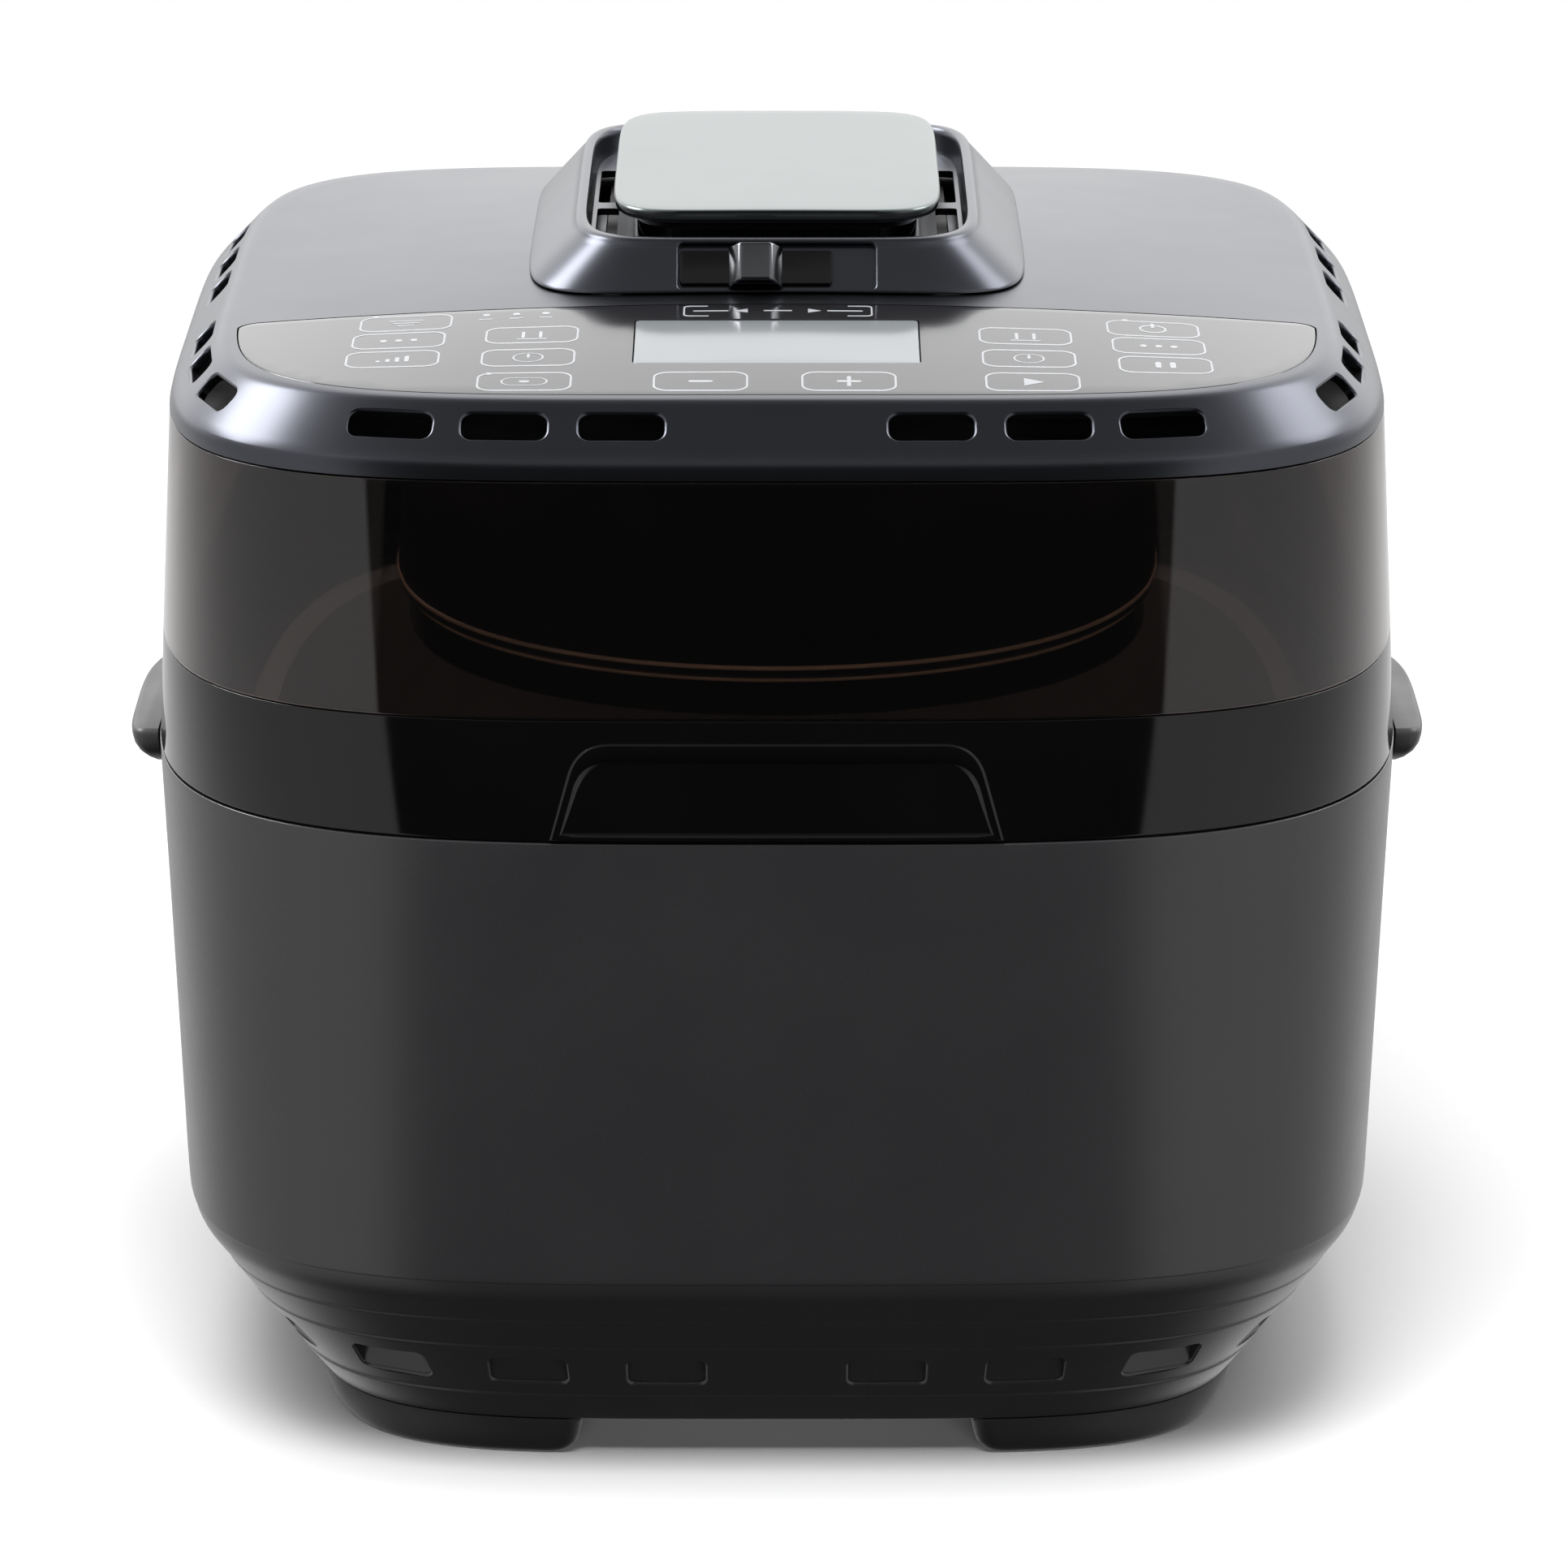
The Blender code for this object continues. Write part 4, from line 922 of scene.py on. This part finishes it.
def drum():
    profile = [(118.0, 290.7), (118.0, 289.0), (117.6, 288.7), (112.2, 288.7), (111.5, 288.0), (111.5, 226.2),
               (111.2, 225.0), (108.2, 223.2), (107.5, 222.2), (107.5, 214.2), (107.0, 213.5), (105.9, 213.5),
               (105.5, 214.0), (105.5, 224.0), (109.5, 226.0), (109.5, 290.7)]
    turns = [2 * math.pi * i / FINE for i in range(FINE)]
    rows = []
    for radius, z in profile:
        rows.append([Vector((radius * math.cos(turn), radius * math.sin(turn), z)) * MM for turn in turns])
    lofted("heater_can", rows, DRUM_STEEL, "lid", "coated_steel", ("heater_drum",), closed=True)
    ring_tube("can_ring_upper", 111.4, 227.2, 0.6, COPPER, "lid", "copper")
    ring_tube("can_ring_lower", 108.6, 223.7, 0.85, COPPER, "lid", "copper")


def repaint():
    looks = {
        "base_floor": BASE_PLASTIC, "inner_liner": LINER_STEEL, "rotisserie_motor": BRIGHT_STEEL,
        "rotisserie_drive_dog": BRIGHT_STEEL, "rotisserie_idle_pivot": BRIGHT_STEEL,
        "cooking_pot": POT_COATING, "crisper_plate": POT_COATING, "lid_gasket": RUBBER,
        "display_module": INNER_PLASTIC, "control_board": BOARD,
        "power_board": BOARD, "head_deck": INNER_PLASTIC, "cord_gland": RUBBER, "vent_grille": INNER_PLASTIC,
        "vent_shutter": INNER_PLASTIC, "heater_partition": BRIGHT_STEEL, "element_guard": BRIGHT_STEEL,
        "heating_element": COPPER, "fan_shaft": BRIGHT_STEEL, "convection_fan": BRIGHT_STEEL,
        "cooling_fan": INNER_PLASTIC, "fan_motor": BRIGHT_STEEL, "temperature_probe": BRIGHT_STEEL}
    for number in range(1, 5):
        looks[f"deck_screw_{number}"] = BRIGHT_STEEL
    for name, look in looks.items():
        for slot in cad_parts[name].material_slots:
            slot.material = look


# ---------------------------------------------------------------- the studio

def area_light(name, place, target, size, power, colour=(1.0, 1.0, 1.0)):
    light = bpy.data.lights.new(name, "AREA")
    light.shape = "RECTANGLE"
    light.size, light.size_y = size
    light.energy = power
    light.color = colour
    made = bpy.data.objects.new(name, light)
    bpy.context.scene.collection.objects.link(made)
    made.location = place
    made.rotation_euler = (Vector(target) - Vector(place)).to_track_quat("-Z", "Y").to_euler()
    made.visible_camera = False
    made.visible_transmission = False
    return made


def diffuse_only(light):
    light.visible_glossy = False
    light.visible_camera = False
    light.visible_transmission = False


def stepped(nodes, links, source, start, end, low, high):
    made = nodes.new("ShaderNodeMapRange")
    made.interpolation_type = "SMOOTHSTEP"
    made.inputs["From Min"].default_value = start
    made.inputs["From Max"].default_value = end
    made.inputs["To Min"].default_value = low
    made.inputs["To Max"].default_value = high
    links.new(source, made.inputs["Value"])
    return made.outputs["Result"]


def math_node(nodes, links, operation, first, second):
    made = nodes.new("ShaderNodeMath")
    made.operation = operation
    for socket, value in zip(made.inputs, (first, second)):
        if isinstance(value, (int, float)):
            socket.default_value = value
        else:
            links.new(value, socket)
    return made.outputs[0]


def sky(nodes, links):
    """Brightness by direction: dark ahead, a soft wall each side and a brighter one behind."""
    coords = nodes.new("ShaderNodeTexCoord")
    turned = nodes.new("ShaderNodeMapping")
    turned.inputs["Rotation"].default_value = (0.0, 0.0, math.radians(1.6))
    links.new(coords.outputs["Generated"], turned.inputs["Vector"])
    split = nodes.new("ShaderNodeSeparateXYZ")
    links.new(turned.outputs["Vector"], split.inputs["Vector"])
    aside = math_node(nodes, links, "ABSOLUTE", split.outputs["X"], 0.0)
    ahead = math_node(nodes, links, "MULTIPLY", split.outputs["Y"], -1.0)
    turn = math_node(nodes, links, "ARCTAN2", aside, ahead)
    height = split.outputs["Z"]
    side = stepped(nodes, links, turn, math.radians(29.5), math.radians(31.0), 0.0, SIDE_GLOW)
    rear = stepped(nodes, links, turn, math.radians(95.0), math.radians(155.0), 0.0, 1.0)
    extra = stepped(nodes, links, height, -0.12, 0.12, REAR_LOW_GLOW - SIDE_GLOW, REAR_GLOW - SIDE_GLOW)
    wall = math_node(nodes, links, "ADD", side, math_node(nodes, links, "MULTIPLY", rear, extra))
    below = stepped(nodes, links, height, -0.97, -0.6, 0.04, 1.0)
    above = stepped(nodes, links, height, 0.66, 0.86, 1.0, 0.06)
    wall = math_node(nodes, links, "MULTIPLY", wall, below)
    wall = math_node(nodes, links, "MULTIPLY", wall, above)
    crown = stepped(nodes, links, height, 0.5, 0.72, AHEAD_GLOW, CROWN_GLOW)
    crown = math_node(nodes, links, "MULTIPLY", crown, stepped(nodes, links, height, 0.86, 0.96, 1.0, 0.45))
    return math_node(nodes, links, "ADD", wall, crown)


SIDE_GLOW, REAR_GLOW, REAR_LOW_GLOW, AHEAD_GLOW, CROWN_GLOW = 0.6, 1.75, 0.75, 0.03, 0.33
SUN_STRENGTH, SUN_SPREAD_DEGREES = 3.1, 84.0
FRONT_FILL_W, FRONT_LOW_W, CORNER_LEFT_W, CORNER_RIGHT_W = 38.0, 26.0, 22.0, 9.0
FLOOR_SIZE_M = 8.0


def studio():
    floor_mesh = bmesh.new()
    floor_mesh.faces.new([floor_mesh.verts.new((x * FLOOR_SIZE_M, y * FLOOR_SIZE_M, 0.0))
                          for x, y in ((-1, -1), (1, -1), (1, 1), (-1, 1))])
    data = bpy.data.meshes.new("floor")
    floor_mesh.to_mesh(data)
    floor_mesh.free()
    floor = bpy.data.objects.new("floor", data)
    bpy.context.scene.collection.objects.link(floor)
    look, nodes, links, base = new_material("floor_white")
    cloud = noise(nodes, links, 400.0, 2.0)
    links.new(blended(nodes, links, cloud.outputs["Fac"], (0.90, 0.90, 0.90), (0.92, 0.92, 0.92)),
              base.inputs["Base Color"])
    base.inputs["Roughness"].default_value = 0.9
    base.inputs["Specular IOR Level"].default_value = 0.0
    data.materials.append(look)
    floor.visible_glossy = False
    floor.visible_diffuse = False
    floor.visible_shadow = False
    floor.visible_transmission = False

    world = bpy.data.worlds.new("studio")
    bpy.context.scene.world = world
    world.use_nodes = True
    world.cycles_visibility.diffuse = False
    nodes, links = world.node_tree.nodes, world.node_tree.links
    background = nodes["Background"]
    path = nodes.new("ShaderNodeLightPath")
    pick = nodes.new("ShaderNodeMix")
    links.new(path.outputs["Is Camera Ray"], pick.inputs["Factor"])
    links.new(sky(nodes, links), pick.inputs["A"])
    pick.inputs["B"].default_value = 1.0
    links.new(pick.outputs["Result"], background.inputs["Strength"])
    background.inputs["Color"].default_value = (1.0, 1.0, 1.0, 1.0)

    sun = bpy.data.lights.new("overhead", "SUN")
    sun.energy = SUN_STRENGTH
    sun.angle = math.radians(SUN_SPREAD_DEGREES)
    overhead = bpy.data.objects.new("overhead", sun)
    bpy.context.scene.collection.objects.link(overhead)
    diffuse_only(overhead)
    diffuse_only(area_light("front_fill", (-0.2, -1.3, 2.0), (0.0, 0.0, 0.15), (1.2, 0.8), FRONT_FILL_W))
    diffuse_only(area_light("front_low", (0.2, -3.0, 0.75), (0.0, 0.0, 0.12), (1.8, 0.8), FRONT_LOW_W))
    for name, side, power in (("corner_left", -1, CORNER_LEFT_W), ("corner_right", 1, CORNER_RIGHT_W)):
        highlight = area_light(name, (side * 1.15, 0.42, 1.3), (side * 0.15, -0.12, 0.3), (0.9, 0.7), power)
        highlight.visible_diffuse = False


def camera():
    data = bpy.data.cameras.new("camera")
    made = bpy.data.objects.new("camera", data)
    bpy.context.scene.collection.objects.link(made)
    data.sensor_width = 36.0
    data.lens = 177.13
    data.clip_end = 50.0
    elevation, distance = math.radians(16.2), 2.2653
    target = Vector((0.0020, 0.0, 0.1599))
    made.location = target + Vector((0.0, -math.cos(elevation), math.sin(elevation))) * distance
    made.rotation_euler = (math.pi / 2 - elevation, 0.0, 0.0)
    bpy.context.scene.camera = made


camera()
base_body()
feet()
side_grips()
lid_walls()
finger_pull()
head()
panel_print()
handle_group()
drum()
repaint()
for piece, body, slot, stands_for in PIECES:
    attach(piece, body)
    if stands_for:
        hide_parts(*stands_for)
studio()
scene = bpy.context.scene
scene.view_settings.view_transform = "Standard"
scene.view_settings.look = "None"
